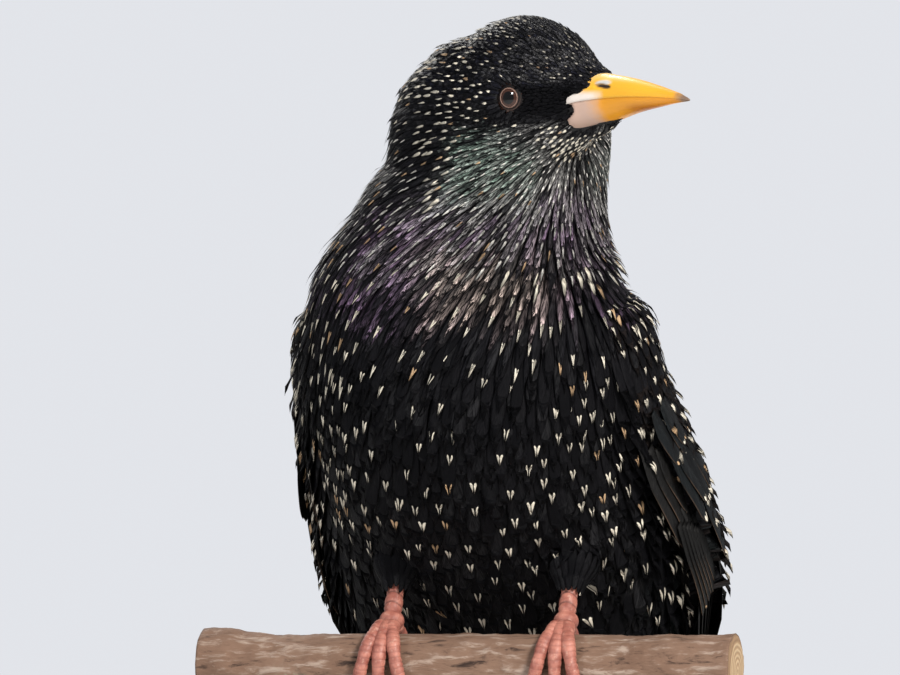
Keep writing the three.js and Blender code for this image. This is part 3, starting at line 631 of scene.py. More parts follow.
def trunk_shape(first):
    """The trunk from a distance along the line up to a low dome in the hind crown."""
    distance = np.linspace(first, BODY_LENGTH, 110)[:, None]
    rings = on_body(distance, np.linspace(0, 360, 72, endpoint=False)[None, :] + 0 * distance)
    dome = rings[-1] * 0.55 + section(STATION_AT[-1:])[0] * 0.45 + [0, 0, 1.8]
    return loft(np.concatenate([rings, dome[None]]))


def skull_shape():
    sizes = smooth_curve(HEAD_SECTIONS, np.linspace(0, len(HEAD_SECTIONS) - 1, 56))
    turn = full_turn(56)[None, :]
    s, c = np.sin(turn), np.cos(turn)
    rise = s * np.where(s > 0, sizes[:, 2:3], sizes[:, 3:4])
    return loft(in_head(sizes[:, :1] + 0 * s, sizes[:, 1:2] * c, rise))


def hang_at(distance, degrees, side):
    """How far a loosely held wing stands off the flank."""
    along = np.clip((132 - distance) / 80, 0, 1)
    return HANG[side] * np.sin(math.pi * along) * np.cos(np.radians(degrees))


def mirrored(points, side):
    return points if side == "left" else points * [-1, 1, 1]


def arm_shape(side):
    t, q = np.meshgrid(np.linspace(0, 1, 26), np.linspace(0, 1, 20), indexing="ij")
    distance = ARM_END + (WRIST - ARM_END) * t
    low, high = EDGE_ANGLE - EDGE_DROP * np.sqrt(t), 64 - 16 * t
    degrees = low + (high - low) * q
    swell = np.sqrt(np.sin(math.pi * (0.12 + 0.76 * t)) * np.sin(math.pi * np.clip(q, 0.001, 0.999)))
    height = ARM_SKIN + (ARM_HEIGHT - ARM_SKIN) * swell + hang_at(distance, degrees, side)
    upper, lower = on_body(distance, degrees, height), on_body(distance, degrees, -3.0)
    return loft(mirrored(np.concatenate([upper, lower[:, ::-1]], axis=1), side))


def leg_point(side, distance):
    ankle = np.array([FOOT_X[side], PERCH_Y + ANKLE_BACK, PERCH_TOP + ANKLE_RISE])
    return ankle + np.multiply.outer(distance, LEG_LINE)


def tube(places, radii, sides=14):
    """Rings round a line of places, in a frame that doesn't twist."""
    places = np.asarray(places, float)
    along = unit(np.gradient(places, axis=0))
    level = np.where(np.abs(along[:, :1]) > 0.9, [[0, 1.0, 0]], [[1.0, 0, 0]])
    up = unit(np.cross(level, along))
    side = np.cross(along, up)
    turn = full_turn(sides)[None, :, None]
    radii = np.asarray(radii, float)[:, None, None]
    return places[:, None] + radii * (np.cos(turn) * side[:, None] + np.sin(turn) * up[:, None])


def pad_ball(f, left, up, radius):
    return ball(in_head(f, left, up), radius, FORWARD, LEFTWARD, UP, 8, 12, 0.15)


shapes = [trunk_shape(TAIL_ROOT), skull_shape(), arm_shape("left"), arm_shape("right")]
shapes += [loft(tube(leg_point(side, THIGH_AT), THIGH_RADII)) for side in SIDES]
for f, left, up, radius in BROW_PADS:
    shapes += [pad_ball(f, left, up, radius), pad_ball(f, -left, up, radius)]
shapes += [pad_ball(*pad) for pad in CHIN_PADS]
print("shapes under the skin:", len(shapes))

# %% [markdown]
# The shapes are fused by a voxel remesh, so that no seam is left, and the whole is then drawn in by the depth
# of the coat: a third of a millimetre at the bill, about two on the breast. A bowl is pressed round each eye.
# A sculptor would call it the armature's clay; the feathers give the outline.

# %% One skin, drawn in by the depth of the coat
VOXEL, EYE_BOWL = 0.7, 1.3
COAT_REACH, COAT_DEPTH = [4, 9, 18, 32, 50, 70], [0.25, 0.35, 0.75, 1.3, 1.9, 2.3]


def fuse(name, shapes):
    piece = mesh_piece(name, *join_shapes(shapes))
    remesh = piece.modifiers.new("fuse", "REMESH")
    remesh.mode, remesh.voxel_size = "VOXEL", VOXEL * MM
    relax = piece.modifiers.new("relax", "SMOOTH")
    relax.factor, relax.iterations = 0.5, 8
    return frozen(piece, name)


def bill_distance(points):
    return np.linalg.norm(points - BILL_BASE, axis=1)


def coat_depth(points):
    return np.interp(bill_distance(points), COAT_REACH, COAT_DEPTH)


def draw_in(piece, depth):
    move_points(piece, mesh_points(piece) - read_points(piece, "normal") * depth[:, None])


def tuck(piece):
    """Draw the surface in behind the horn, where the bill sits on it."""
    points = mesh_points(piece)
    f, left, up = to_head(points).T
    share = soft_step(f, 7.9, 9.3) * (1 - soft_step(f, 12, 14))
    share *= soft_step(up, -6.2, -4.6) * (1 - soft_step(up, -0.5, 1.0))
    move_points(piece, points - LEFTWARD * (0.24 * share * left)[:, None])


skin = fuse("skin", shapes)
tuck(skin)
points = mesh_points(skin)
depth = coat_depth(points)
for side in SIDES:
    out, off_axis = from_eye(points, side)
    depth += EYE_BOWL * ((1 - soft_step(np.linalg.norm(off_axis, axis=1), 1.6, 3.4)) * (out > 0))
draw_in(skin, depth)
skin.data.materials.append(downy_skin)
skin.data.shade_smooth()
print("skin:", len(skin.data.polygons), "faces")

# %% [markdown]
# Feathers must lie on something, and all in one direction at each place, as if stroked from the bill back.
# A second surface is made for that, like the skin but running on over the root of the tail, so that the last
# feathers of the rump and vent have something to rest on. The lie of the coat at a point is the way leading
# away from the bill, which turns down the body toward the tail as the head passes into the neck. Round each
# eye the feathers part and point outward from it.

# %% The surface that feathers lie on, and their lie
LIE_TAIL = 6.0
lie = fuse("lie", [trunk_shape(LIE_TAIL)] + shapes[1:])
tuck(lie)
draw_in(lie, coat_depth(mesh_points(lie)))
LIE_POINTS, LIE_NORMALS = mesh_points(lie), read_points(lie, "normal")
keep_values(lie, "smooth_normal", LIE_NORMALS)


def lie_of_coat(points, normals, distance):
    away, down = unit(points - LIE_START), -way_of_line(distance, 0.02)
    facing = (normals * away).sum(1)
    share = np.maximum(soft_step(bill_distance(points), 16, 62), soft_step(facing, 0.35, 0.95))[:, None]
    flow = away * (1 - share) + down * share
    flow += 0.1 * sway(points, 5, 9.0)[:, None] * np.cross(normals, flow)
    for side in SIDES:
        out, off_axis = from_eye(points, side)
        near = (1 - soft_step(np.linalg.norm(off_axis, axis=1), 2.2, 4.2)) * (out > 0)
        flow += 0.8 * (unit(off_axis) * near[:, None])
    return unit(flow - normals * (flow * normals).sum(1)[:, None])


print("lie surface:", len(LIE_POINTS), "points")

# %% [markdown]
# Where each feather grows is settled like seed on a field: many candidates, denser where feathers are small,
# then each one taken clears a circle round itself. The circles grow from 0.42 mm on the forehead to under two
# on the belly. Pale tips get wider circles of their own, because on the bird the spots are spaced more evenly
# than the feathers. No feather grows on the bare lids, on the horn, or under the folded wings.

# %% Where feathers grow
CANDIDATES, LIDS_END, COAT_END = 170000, 2.05, 34
REACH = [0, 8, 16, 24, 34, 48, 65, 80, 100]
SPACING = [0.42, 0.47, 0.6, 0.74, 0.95, 1.15, 1.3, 1.5, 1.8]
LENGTH = [1.4, 2.0, 2.9, 4.3, 6.6, 9.2, 12.0, 13.5, 14.0]
WIDTH = [0.55, 0.65, 0.85, 1.05, 1.35, 1.6, 2.0, 2.4, 2.9]
MARK_SPACING = [1.2, 1.3, 1.45, 1.5, 1.9, 3.0, 4.4, 4.9, 4.1]
# the outline of the horn from the side, forward and up in the head's frame
HORN_EDGE = [
    (8.5, -2.1), (9.3, -1.3), (11, 0.1), (14.2, 0.45), (13.8, 1.5), (13.2, 2.7), (12.9, 3.5), (14.9, 4.2),
    (15, 7), (40, 7), (40, -3), (21, -3.2), (18.6, -3.5), (16, -4.2), (11.5, -5.1), (8.5, -5.9), (8.8, -4.7),
    (9.9, -4.0), (9.9, -2.8),
]


def reach_of(points):
    """How far down the bird a point counts as: its distance from the bill on the head, or its depth below."""
    return np.maximum(bill_distance(points), 34 + 1.6 * (175 - points[:, 2]))


def candidates(count):
    """Random points of the lie surface, denser where feathers are small, with their smooth normals."""
    lie.data.calc_loop_triangles()
    corners = np.array([t.vertices for t in lie.data.loop_triangles])
    a, b, c = (LIE_POINTS[corners[:, k]] for k in range(3))
    area = np.linalg.norm(np.cross(b - a, c - a), axis=1) / 2
    chance = area / np.interp(reach_of((a + b + c) / 3), REACH, SPACING) ** 2
    pick = rng.choice(len(area), count, p=chance / chance.sum())
    u, v = rng.random((2, count, 1))
    u, v = np.where(u + v > 1, 1 - u, u), np.where(u + v > 1, 1 - v, v)
    where, normals = (sum(w * values[corners[pick, k]] for k, w in enumerate([1 - u - v, u, v]))
                      for values in (LIE_POINTS, LIE_NORMALS))
    return where, unit(normals)


def scatter(points, spacing, order):
    """Numbers of the points kept when each kept point clears a circle as wide as its spacing."""
    tree = KDTree(len(points))
    for i, p in enumerate(points.tolist()):
        tree.insert(p, i)
    tree.balance()
    cleared, kept = np.zeros(len(points), bool), []
    for i in order:
        if not cleared[i]:
            kept.append(i)
            for _, j, _ in tree.find_range(points[i], spacing[i]):
                cleared[j] = True
    return np.array(kept)


def side_angle(degrees):
    """Both sides folded onto the left one."""
    degrees = np.where(np.abs(degrees) > 90, 180 - degrees, degrees)
    return np.where(degrees > 180, degrees - 360, degrees)


def wing_edge(distance):
    """The angle at which the folded wing's front edge lies."""
    t = np.clip((distance - ARM_END) / (WRIST - ARM_END), 0, 1)
    return np.where(distance > ARM_END, EDGE_ANGLE - EDGE_DROP * np.sqrt(t),
                    EDGE_ANGLE + 30 * (ARM_END - distance) / 40)


def inside(across, up, corners):
    """Which points lie inside an outline: those that see an odd number of its edges to one side."""
    hit = np.zeros(len(across), bool)
    for (x1, y1), (x2, y2) in zip(corners, corners[1:] + corners[:1]):
        hit ^= ((y1 > up) != (y2 > up)) & (across < (x2 - x1) * (up - y1) / (y2 - y1 + 1e-9) + x1)
    return hit


where, normals = candidates(CANDIDATES)
off_eye = np.min([np.where(out > 0, np.linalg.norm(off_axis, axis=1), 99)
                  for out, off_axis in (from_eye(where, side) for side in SIDES)], axis=0)
f, left, up = to_head(where).T
bare = (off_eye < LIDS_END) | (inside(f, up, HORN_EDGE) & (np.abs(left) < 6))
where, normals = where[~bare], normals[~bare]
reach = reach_of(where)
kept = scatter(where, np.interp(reach, REACH, SPACING), rng.permutation(len(where)))
where, normals, reach = where[kept], normals[kept], reach[kept]
distance, degrees = body_place(where)
folded = side_angle(degrees)
beyond = folded - wing_edge(distance)
inner_edge = np.interp(distance, [40, 60, 75, 95, 119], [24, 40, 54, 66, 72])
wing_top = np.where(folded > 44, 107, np.interp(beyond, [20, 30], [95, 119])) + rng.normal(0, 2.5, len(where))
covered = (beyond > 7) & (folded < inner_edge) & (distance < wing_top) & (where[:, 2] < 160)
open_air = ~covered & (distance > COAT_END)
where, normals, reach, distance, degrees, folded, beyond = (
    v[open_air] for v in (where, normals, reach, distance, degrees, folded, beyond))
flow = lie_of_coat(where, normals, distance)
print("feathers of the coat:", len(where))

# %% [markdown]
# Every feather of the coat is one of seven leaves: two small round ones for the face, two lance-shaped
# hackles for throat and neck, and three contour feathers that end in a point. A leaf is closed, one unit long
# and one wide, with a ragged rim. It carries how far along each point is, how much of the dome it takes part
# in, and how near the edge it is.


# %% Patterns for the small feathers
def leaf(name, shares, widths, columns, notch, seed):
    """shares and widths outline it from root to tip; every other strand of the rim is shorter by notch."""
    r = np.random.default_rng(seed)
    rows, widths = len(shares), np.array(widths)
    t, u = np.meshgrid(shares, np.linspace(-1, 1, columns), indexing="ij")
    short = ((np.arange(columns) - columns // 2) % 2)[None, :] * notch
    x = t - 0.5 * widths[-1] * u ** 2 * soft_step(t, 0.5, 1)
    x -= (short + notch * r.uniform(0, 0.8, size=columns)[None, :]) * soft_step(t, 0.82, 1)
    y = 0.5 * widths[:, None] * u
    flat = 0.5 + y
    y[1:-1, [0, -1]] *= 1 + r.uniform(-0.12, 0.06, size=(rows - 2, 2))
    # the last row closes in one point
    x[-1], y[-1], flat[-1] = 1.0, 0.0, 0.5
    tip = (rows - 1) * columns
    faces = grid_faces(rows - 1, columns)[:, ::-1].tolist()
    left, right = np.arange(rows) * columns, np.arange(rows) * columns + columns - 1
    faces += [[left[k], right[k], right[k + 1], left[k + 1]] for k in range(rows - 2)]
    faces += [list(range(columns))]
    faces += [[left[-2] + c + 1, left[-2] + c, tip] for c in range(columns - 1)]
    faces += [[left[-2], right[-2], tip]]
    piece = mesh_piece(name, np.stack([x, y, 0 * x], -1).reshape(-1, 3)[:tip + 1] / MM, faces)
    dome = (1 - u ** 2) * (1 - soft_step(t, 0.6, 1))
    for label, values in (("along", t), ("dome", dome), ("edge_share", np.abs(u))):
        keep_values(piece, label, values.ravel()[:tip + 1])
    keep_map(piece, "Vane", np.stack([flat, t], -1).reshape(-1, 2)[face_corners(piece)])
    return piece


OUTLINES = {
    "face": ([0, 0.3, 0.62, 0.86, 1], [0.5, 0.95, 1, 0.7, 0.22]),
    "hackle": ([0, 0.2, 0.42, 0.6, 0.76, 0.9, 1], [0.45, 0.85, 1, 0.88, 0.6, 0.27, 0.1]),
    "body": ([0, 0.25, 0.5, 0.7, 0.83, 0.92, 0.97, 1], [0.35, 0.8, 1, 0.92, 0.67, 0.4, 0.2, 0.15]),
}
# outline, columns and notch of each leaf; the numbers of those that serve one kind of feather
LEAVES = [("face", 5, 0.07), ("face", 5, 0.1), ("hackle", 5, 0.05), ("hackle", 5, 0.08),
          ("body", 7, 0.035), ("body", 9, 0.03), ("body", 9, 0.045)]
LEAF_NUMBERS = {"face": (0, 2), "hackle": (2, 4), "body": (4, 7)}
patterns = [leaf(f"pattern_{i}_{kind}", *OUTLINES[kind], columns, notch, seed=i + 1)
            for i, (kind, columns, notch) in enumerate(LEAVES)]
pattern_box = bpy.data.collections.new("feather patterns")
for piece in patterns:
    pattern_box.objects.link(piece)
    bpy.context.scene.collection.objects.unlink(piece)
print("patterns:", [len(p.data.polygons) for p in patterns], "faces")

# %% [markdown]
# Laying thousands of feathers is a task for Geometry Nodes. The tree puts a pattern on every root, turns it
# to the lie of the coat, makes the leaves real, and then presses each point onto the surface beneath, a
# little higher the nearer it is to the feather's tip. So every tip lies over the roots of the next row, like
# tiles.

# %% The tree that lays feathers
ROOT_HEIGHT, DOME, RISE_POWER = 0.1, 0.06, 1.2


def lay_feathers():
    tree = bpy.data.node_groups.new("lay feathers", "GeometryNodeTree")
    tree.is_modifier = True
    for label, kind in (("Roots", "NodeSocketGeometry"), ("Surface", "NodeSocketObject"),
                        ("Patterns", "NodeSocketCollection"), ("Root Height", FLOAT), ("Dome", FLOAT),
                        ("Material", "NodeSocketMaterial")):
        tree.interface.new_socket(label, in_out="INPUT", socket_type=kind)
    tree.interface.new_socket("Coat", in_out="OUTPUT", socket_type="NodeSocketGeometry")
    n = Nodes(tree)
    given = n.add("NodeGroupInput").outputs

    def named(name, kind="FLOAT"):
        node = n.add("GeometryNodeInputNamedAttribute", {"Name": name}, data_type=kind)
        return next(s for s in node.outputs if s.enabled and s.name == "Attribute")

    def from_surface(value):
        return n.add("GeometryNodeSampleNearestSurface", {"Mesh": surface, "Value": value},
                     data_type="FLOAT_VECTOR").outputs["Value"]

    turn = n.add("FunctionNodeAxesToRotation", {"Primary Axis": named("out", "FLOAT_VECTOR"),
                                                "Secondary Axis": named("flow", "FLOAT_VECTOR")},
                 primary_axis="Z", secondary_axis="X")
    leaves = n.add("GeometryNodeCollectionInfo", {"Collection": given["Patterns"], "Separate Children": True,
                                                  "Reset Children": True})
    placed = n.add("GeometryNodeInstanceOnPoints", {
        "Points": given["Roots"], "Instance": leaves.outputs[0], "Pick Instance": True,
        "Instance Index": named("kind", "INT"), "Rotation": turn.outputs[0],
        "Scale": named("size", "FLOAT_VECTOR")})
    real = n.add("GeometryNodeRealizeInstances", {"Geometry": placed.outputs[0]})
    surface = n.add("GeometryNodeObjectInfo", {"Object": given["Surface"]}).outputs["Geometry"]
    ground = from_surface(n.add("GeometryNodeInputPosition").outputs[0])
    outward = from_surface(named("smooth_normal", "FLOAT_VECTOR"))
    rise = n.times(n.math("POWER", named("along"), RISE_POWER), named("rise"))
    dome = n.times(named("dome"), given["Dome"], named("width"))
    height = n.plus(n.plus(given["Root Height"], rise), n.plus(dome, named("layer")))
    lifted = n.add("ShaderNodeVectorMath", {0: outward, "Scale": height}, operation="SCALE").outputs[0]
    pressed = n.add("GeometryNodeSetPosition", {"Geometry": real.outputs[0],
                                                "Position": n.vector("ADD", ground, lifted)})
    finish = n.add("GeometryNodeSetMaterial", {"Geometry": pressed.outputs[0], "Material": given["Material"]})
    n.feed(finish.outputs[0], n.add("NodeGroupOutput").inputs["Coat"])
    return tree


def set_input(modifier, label, value):
    tree = modifier.node_group
    socket = next(s for s in tree.interface.items_tree if s.name == label and s.in_out == "INPUT")
    modifier[socket.identifier] = value


LAY = lay_feathers()
print("tree:", LAY.name, len(LAY.nodes), "nodes")

# %% [markdown]
# A call of lay() makes one piece of the coat. Each feather gets its size, tilt and random shares, and a seat
# near its middle where its tint is taken. For baking, each one is a small patch at its root on an unwrap of
# the body.

# %% One piece of the coat
PATCH, SEAT_SHARE, RISE_SHARE = 0.003, 0.55, 0.7
TOUSLED, WARM = 0.08, 0.12
ONLY_FOR_LAYING = ("flow", "out", "size", "root", "rise", "width", "layer", "kind", "along", "dome")


def unwrap(points):
    """Angle round the body and distance up it, as a flat map."""
    line, angle = body_place(points)
    return np.stack([0.5 + angle / 380, 0.02 + 0.8 * line / BODY_LENGTH], -1)


def bake_map(piece):
    root = np.zeros(len(piece.data.vertices) * 3, np.float32)
    piece.data.attributes["root"].data.foreach_get("vector", root)
    uv = np.zeros(len(piece.data.loops) * 2, np.float32)
    piece.data.uv_layers["Vane"].data.foreach_get("uv", uv)
    root = root.reshape(-1, 3)[:, :2][face_corners(piece)]
    keep_map(piece, "OFBake", root + (uv.reshape(-1, 2) - 0.5) * PATCH)


def lay(name, rows, kind, finish, stretch, narrow):
    """A coat piece from the roots whose rows are given."""
    size_x = np.interp(reach[rows], REACH, LENGTH) * stretch * rng.uniform(0.88, 1.1, len(rows))
    size_y = np.interp(reach[rows], REACH, WIDTH) * rng.uniform(0.85, 1.1, len(rows)) * narrow
    kinds = rng.integers(*LEAF_NUMBERS[kind], len(rows))
    tousled = np.where(rng.random(len(rows)) < TOUSLED, 1.5, 1.0)
    depth = coat_depth(where[rows])
    values = {
        "flow": flow[rows], "out": normals[rows], "kind": kinds, "width": size_y * MM,
        "size": np.stack([size_x, size_y, size_y], -1) * MM,
        "root": np.pad(unwrap(where[rows]), ((0, 0), (0, 1))),
        "rise": (depth * RISE_SHARE * tousled + swell[rows]) * MM,
        "layer": rng.uniform(0, 0.12, len(rows)) * depth * MM,
        "seat": (where[rows] + flow[rows] * (SEAT_SHARE * size_x)[:, None]) * MM,
        "random": rng.random(len(rows)), "mark": marked[rows], "warm": rng.random(len(rows)) < WARM,
    }
    seeds = mesh_piece("roots", where[rows], [])
    for label, data in values.items():
        keep_values(seeds, label, data)
    modifier = seeds.modifiers.new("lay", "NODES")
    modifier.node_group = LAY
    for label, value in (("Surface", lie), ("Patterns", pattern_box), ("Root Height", ROOT_HEIGHT * MM),
                         ("Dome", DOME), ("Material", FINISH[finish])):
        set_input(modifier, label, value)
    coat = frozen(seeds, name)
    bake_map(coat)
    for label in ONLY_FOR_LAYING:
        coat.data.attributes.remove(coat.data.attributes[label])
    coat.data.shade_smooth()
    return coat


print("taken off again after laying:", ", ".join(ONLY_FOR_LAYING))

# %% [markdown]
# The coat is laid in seven zones, as the feather tracts of a bird are: face and crown, throat hackles, neck,
# breast and flanks, back, belly, and the shoulders over the folded wings. The spots are dots on the head and
# dashes on the neck. Lower down they are small Vs, closer toward the belly.

# %% Zones and their pale tips
# kind of leaf, finish, how much longer and how much narrower
ZONES = {
    "face_feathers": ("face", "face", 1.0, 1.0),
    "throat_hackles": ("hackle", "throat", 1.15, 0.85),
    "neck_feathers": ("hackle", "neck", 1.1, 1.0),
    "breast_feathers": ("body", "body", 1.0, 1.0),
    "back_feathers": ("body", "body", 1.0, 1.0),
    "belly_feathers": ("body", "body", 1.0, 1.0),
    "shoulder_feathers": ("body", "shoulder", 0.72, 0.95),
}
f, left, up = to_head(where).T
from_bill, tall = bill_distance(where), where[:, 2]
is_head = (from_bill < 27) | ((up > 0) & (from_bill < 34))
is_throat = (up < -4.5) & (tall > 168) & (from_bill > 9) & (degrees < 10) & ~(is_head & (f < -7))
is_back = (degrees > 25) & (degrees < 155) & ~is_head & (tall < 168)
is_shoulder = (beyond > 0) & (folded < 78) & (tall < 160)
is_shoulder &= distance > np.interp(beyond, [20, 30], [88, 100])
is_neck = tall + rng.normal(0, 2.0, len(tall)) > 154
# the first that holds counts, and all that is left is breast
zone = np.select([is_throat, is_head, is_shoulder, is_back, distance < 100, is_neck],
                 ["throat_hackles", "face_feathers", "shoulder_feathers", "back_feathers",
                  "belly_feathers", "neck_feathers"], "breast_feathers")
# feathers of the shoulder lie over the coverts, those of the flank over the wing's front edge, and a low
# swelling at the left of the neck carries the fold of the turned head
on_shoulder = zone == "shoulder_feathers"
swell = np.where(on_shoulder, np.interp(distance, [104, 116, 134, 150], [4.2, 2.8, 1.2, 0]), 0)
skirt = (beyond < 7) & (beyond > -14) & (distance > 84) & (distance < 150) & ~on_shoulder
swell += np.where(skirt, 3.0 * np.clip(1 + np.minimum(beyond, 0) / 14, 0, 1), 0)
swell += 2.0 * np.exp(-((tall - 169) / 6.5) ** 2) * soft_step(where[:, 0], 6, 15) * (where[:, 1] < 4)
# pale tips stand closer at the sides of the breast, and few are on the front of the crown
tips = where + flow * np.interp(reach, REACH, LENGTH)[:, None]
mark_gap = np.interp(reach, REACH, MARK_SPACING) * np.where(is_throat, 0.95, 1.0)
mark_gap *= (1 + 0.25 * sway(where, 21, 5.0)) * rng.uniform(0.75, 1.2, len(where))
mark_gap *= 1 - 0.36 * soft_step(np.abs(where[:, 0] - 4), 12, 20) * soft_step(tall, 118, 140)
marked = np.zeros(len(where))
marked[scatter(tips, mark_gap * 0.86, rng.permutation(len(tips)))] = 1
marked *= rng.uniform(0.75, 1.0, len(marked))
front_crown = soft_step(f, -9, 3) * soft_step(up, 1.0, 4.0) * (from_bill < 34)
marked *= (1 - 0.65 * front_crown) * (rng.random(len(marked)) > 0.65 * front_crown)
marked[(f > 0.5) & (np.abs(up + 0.7) < 3.4) & (np.abs(left) > 2)] = 0
print("feathers by zone:", {name: int((zone == name).sum()) for name in ZONES})
print("with pale tips:", int((marked > 0).sum()))

# %% Lay the coat
coat = [lay(name, np.flatnonzero(zone == name), *how) for name, how in ZONES.items()]
finished(skin, "plumage", "head", "neck", "torso", "thigh_left", "thigh_right")
for piece in coat:
    finished(piece, "plumage")
for piece in patterns:
    bpy.data.objects.remove(piece)
bpy.data.collections.remove(pattern_box)

# %% [markdown]
# The folded wing is built as a bird's wing is: long flight feathers first, then row over row of shorter
# coverts, with the scapulars over them where wing meets back. Every vane runs along a line on the body's
# side, from root to tip, in distances and angles of the body line, and the inner ones lie over the outer.

# %% A feather vane along a line
SHARES = np.array([0, 0.08, 0.2, 0.35, 0.5, 0.65, 0.77, 0.86, 0.93, 0.975, 1.0])
VANE_COLUMNS, VANE_ARCH = 7, 0.08
# count, root at, tip at, root angle, tip angle, root lift, tip lift, half width, taper, roll, unevenness
FLIGHT_TIERS = {
    "primaries": (9, (118, 104), (27, 60), (-13, 13), (42, 66), (0.4, 1.8), (0.4, 3.6), 4.9, 2.4, 0.13, 0.3),
    "secondaries": (8, (103, 99), (67, 77), (8, 43), (30, 63), (2.6, 3.1), (3.5, 5.2), 5.2, 4, 0.13, 0.6),
    "tertials": (3, (108, 104), (73, 92), (54, 70), (60, 77), (3.8, 4.5), (5.5, 6.4), 6.0, 4, 0.16, 0.5),
    "primary coverts": (6, (112, 109), (92, 97), (-14, -4), (-7, 4), (1.2, 1.6), (1.3, 2.0), 2.4, 3, 0.14,
                        0.8),
    "alula": (3, (129, 127), (107, 112), (-19, -11), (-14, -6), (0.5, 0.7), (0.7, 1.1), 2.4, 2.4, 0.14, 0.5),
}
COVERT_TIERS = {
    "greater": (14, (115, 111), (99, 95), (4, 49), (9, 54), (2.7, 3.1), (4.0, 4.8), 2.7, 4, 0.13, 2.6),
    "median": (16, (126, 121), (112, 108), (-9, 46), (-4, 51), (2.0, 2.5), (3.5, 4.3), 2.3, 3.4, 0.13, 3.4),
    "lesser": (18, (134, 129), (122, 118), (-11, 44), (-7, 49), (1.5, 1.9), (2.5, 3.3), 1.9, 3.0, 0.12, 3.0),
    "scapulars": (11, (126, 121), (110, 105), (46, 74), (49, 78), (2.2, 3.0), (4.4, 5.2), 2.1, 3.0, 0.14,
                  3.6),
    "long scapulars": (9, (118, 113), (99, 92), (48, 72), (53, 77), (3.2, 3.8), (5.4, 6.2), 2.5, 3.0, 0.14,
                       3.4),
}


def between(first, last, share):
    return first + (last - first) * share


def vane_shape(centre, normal, half, taper, roll, thick=0.28, ragged=0.03):
    """Points, faces and vane map of one closed vane. centre and normal hold one row for each of SHARES."""
    rows, columns = len(SHARES), VANE_COLUMNS
    profile = np.minimum(1, 0.4 + 1.8 * SHARES) * np.maximum(0.2, np.sqrt(np.clip(1 - SHARES ** taper, 0, 1)))
    along = unit(np.gradient(centre, axis=0))
    normal = unit(normal - along * (normal * along).sum(1)[:, None])
    across = np.cross(along, normal)
    q = np.linspace(-1, 1, columns)
    width = half * profile[:, None] * (1 + ragged * rng.normal(size=(rows, 1)) * SHARES[:, None])
    rise = roll * q * width + VANE_ARCH * (1 - q ** 2) * width
    middle = centre[:, None] + across[:, None] * (q * width)[..., None] + normal[:, None] * rise[..., None]
    frayed = 1.2 * ragged * half * np.abs(rng.normal(size=(rows, columns)))
    middle -= along[:, None] * (frayed * soft_step(SHARES, 0.9, 1)[:, None])[..., None]
    body = (thick * (1 - 0.85 * q ** 2) / 2)[None, :, None] * normal[:, None]
    points = np.concatenate([(middle + body).reshape(-1, 3), (middle - body).reshape(-1, 3)])
    # the lower face's points follow the upper's, and rims and ends join the two
    k, c, low = np.arange(rows - 1) * columns, np.arange(columns - 1), rows * columns
    rim = np.stack([k, k + low, k + low + columns, k + columns], -1)
    end = np.stack([c, c + 1, c + 1 + low, c + low], -1)
    faces = np.concatenate([grid_faces(rows, columns), grid_faces(rows, columns, start=low)[:, ::-1],
                            rim[:, ::-1], rim + columns - 1, end[:, ::-1], end + low - columns])
    uv = np.broadcast_arrays(0.5 + 0.5 * q * profile[:, None], SHARES[:, None], np.abs(q))
    uv = np.stack(uv, -1).reshape(-1, 3)
    return points, faces, np.concatenate([uv, uv])


def tier_vanes(tier, side, thick):
    """The vanes of one tier, from its first to its last, each a little out of line."""
    count, root_at, tip_at, root_angle, tip_angle, root_lift, tip_lift, half, taper, roll, uneven = tier
    vanes = []
    for share in np.arange(count) / (count - 1):
        line, angle, lift = (between(between(*root, share), between(*tip, share), SHARES) for root, tip in (
            (root_at, tip_at), (root_angle, tip_angle), (root_lift, tip_lift)))
        line = line + rng.uniform(-uneven, uneven) * (0.3 + 0.7 * SHARES)
        angle = angle + rng.uniform(-0.5, 0.5) * uneven
        lift = lift + hang_at(line, angle, side)
        centre = on_body(line, angle, lift)
        vanes.append(vane_shape(centre, on_body(line, angle, lift + 1) - centre, half, taper, roll, thick))
    return vanes


def vane_piece(name, vanes, finish, marked, side="left"):
    """One piece of many vanes, each with its own random values and its own cell of the bake map."""
    points, faces = join_shapes([(p, f.tolist()) for p, f, _ in vanes])
    points = mirrored(points, side)
    if side == "right":
        faces = [f[::-1] for f in faces]
    piece = mesh_piece(name, points, faces, FINISH[finish])
    sizes = [len(p) for p, _, _ in vanes]
    uv, edge = np.split(np.concatenate([vane_map for _, _, vane_map in vanes]), [2], axis=1)
    chance = rng.random((3, len(vanes)))
    keep_values(piece, "seat", points * MM)
    keep_values(piece, "edge_share", edge[:, 0])
    for label, values in (("random", chance[0]), ("mark", chance[1] < marked), ("warm", chance[2] < 0.3)):
        keep_values(piece, label, np.repeat(values, sizes))
    corners = face_corners(piece)
    keep_map(piece, "Vane", uv[corners])
    columns = math.ceil(math.sqrt(len(vanes)))
    cell = np.repeat(np.arange(len(vanes)), sizes)
    spot = (np.stack([cell % columns, cell // columns], -1) + 0.05 + 0.9 * uv) / columns
    keep_map(piece, "OFBake", spot[corners])
    return piece


# %% Fold both wings
for side in SIDES:
    flight, coverts = ([v for tier in tiers.values() for v in tier_vanes(tier, side, thick)]
                       for tiers, thick in ((FLIGHT_TIERS, 0.3), (COVERT_TIERS, 0.24)))
    node = "wing_" + side
    finished(vane_piece(node + "_flight", flight, "flight", 0.2, side), "wing_feathers", node)
    finished(vane_piece(node + "_coverts", coverts, "covert", 0.75, side), "wing_feathers", node)

# %% [markdown]
# Twelve tail feathers lie in a shallow stack, the middle pair on top, each pair a little wider out and a
# little lower. A short fleshy root holds them, hidden under the coverts of rump and vent.

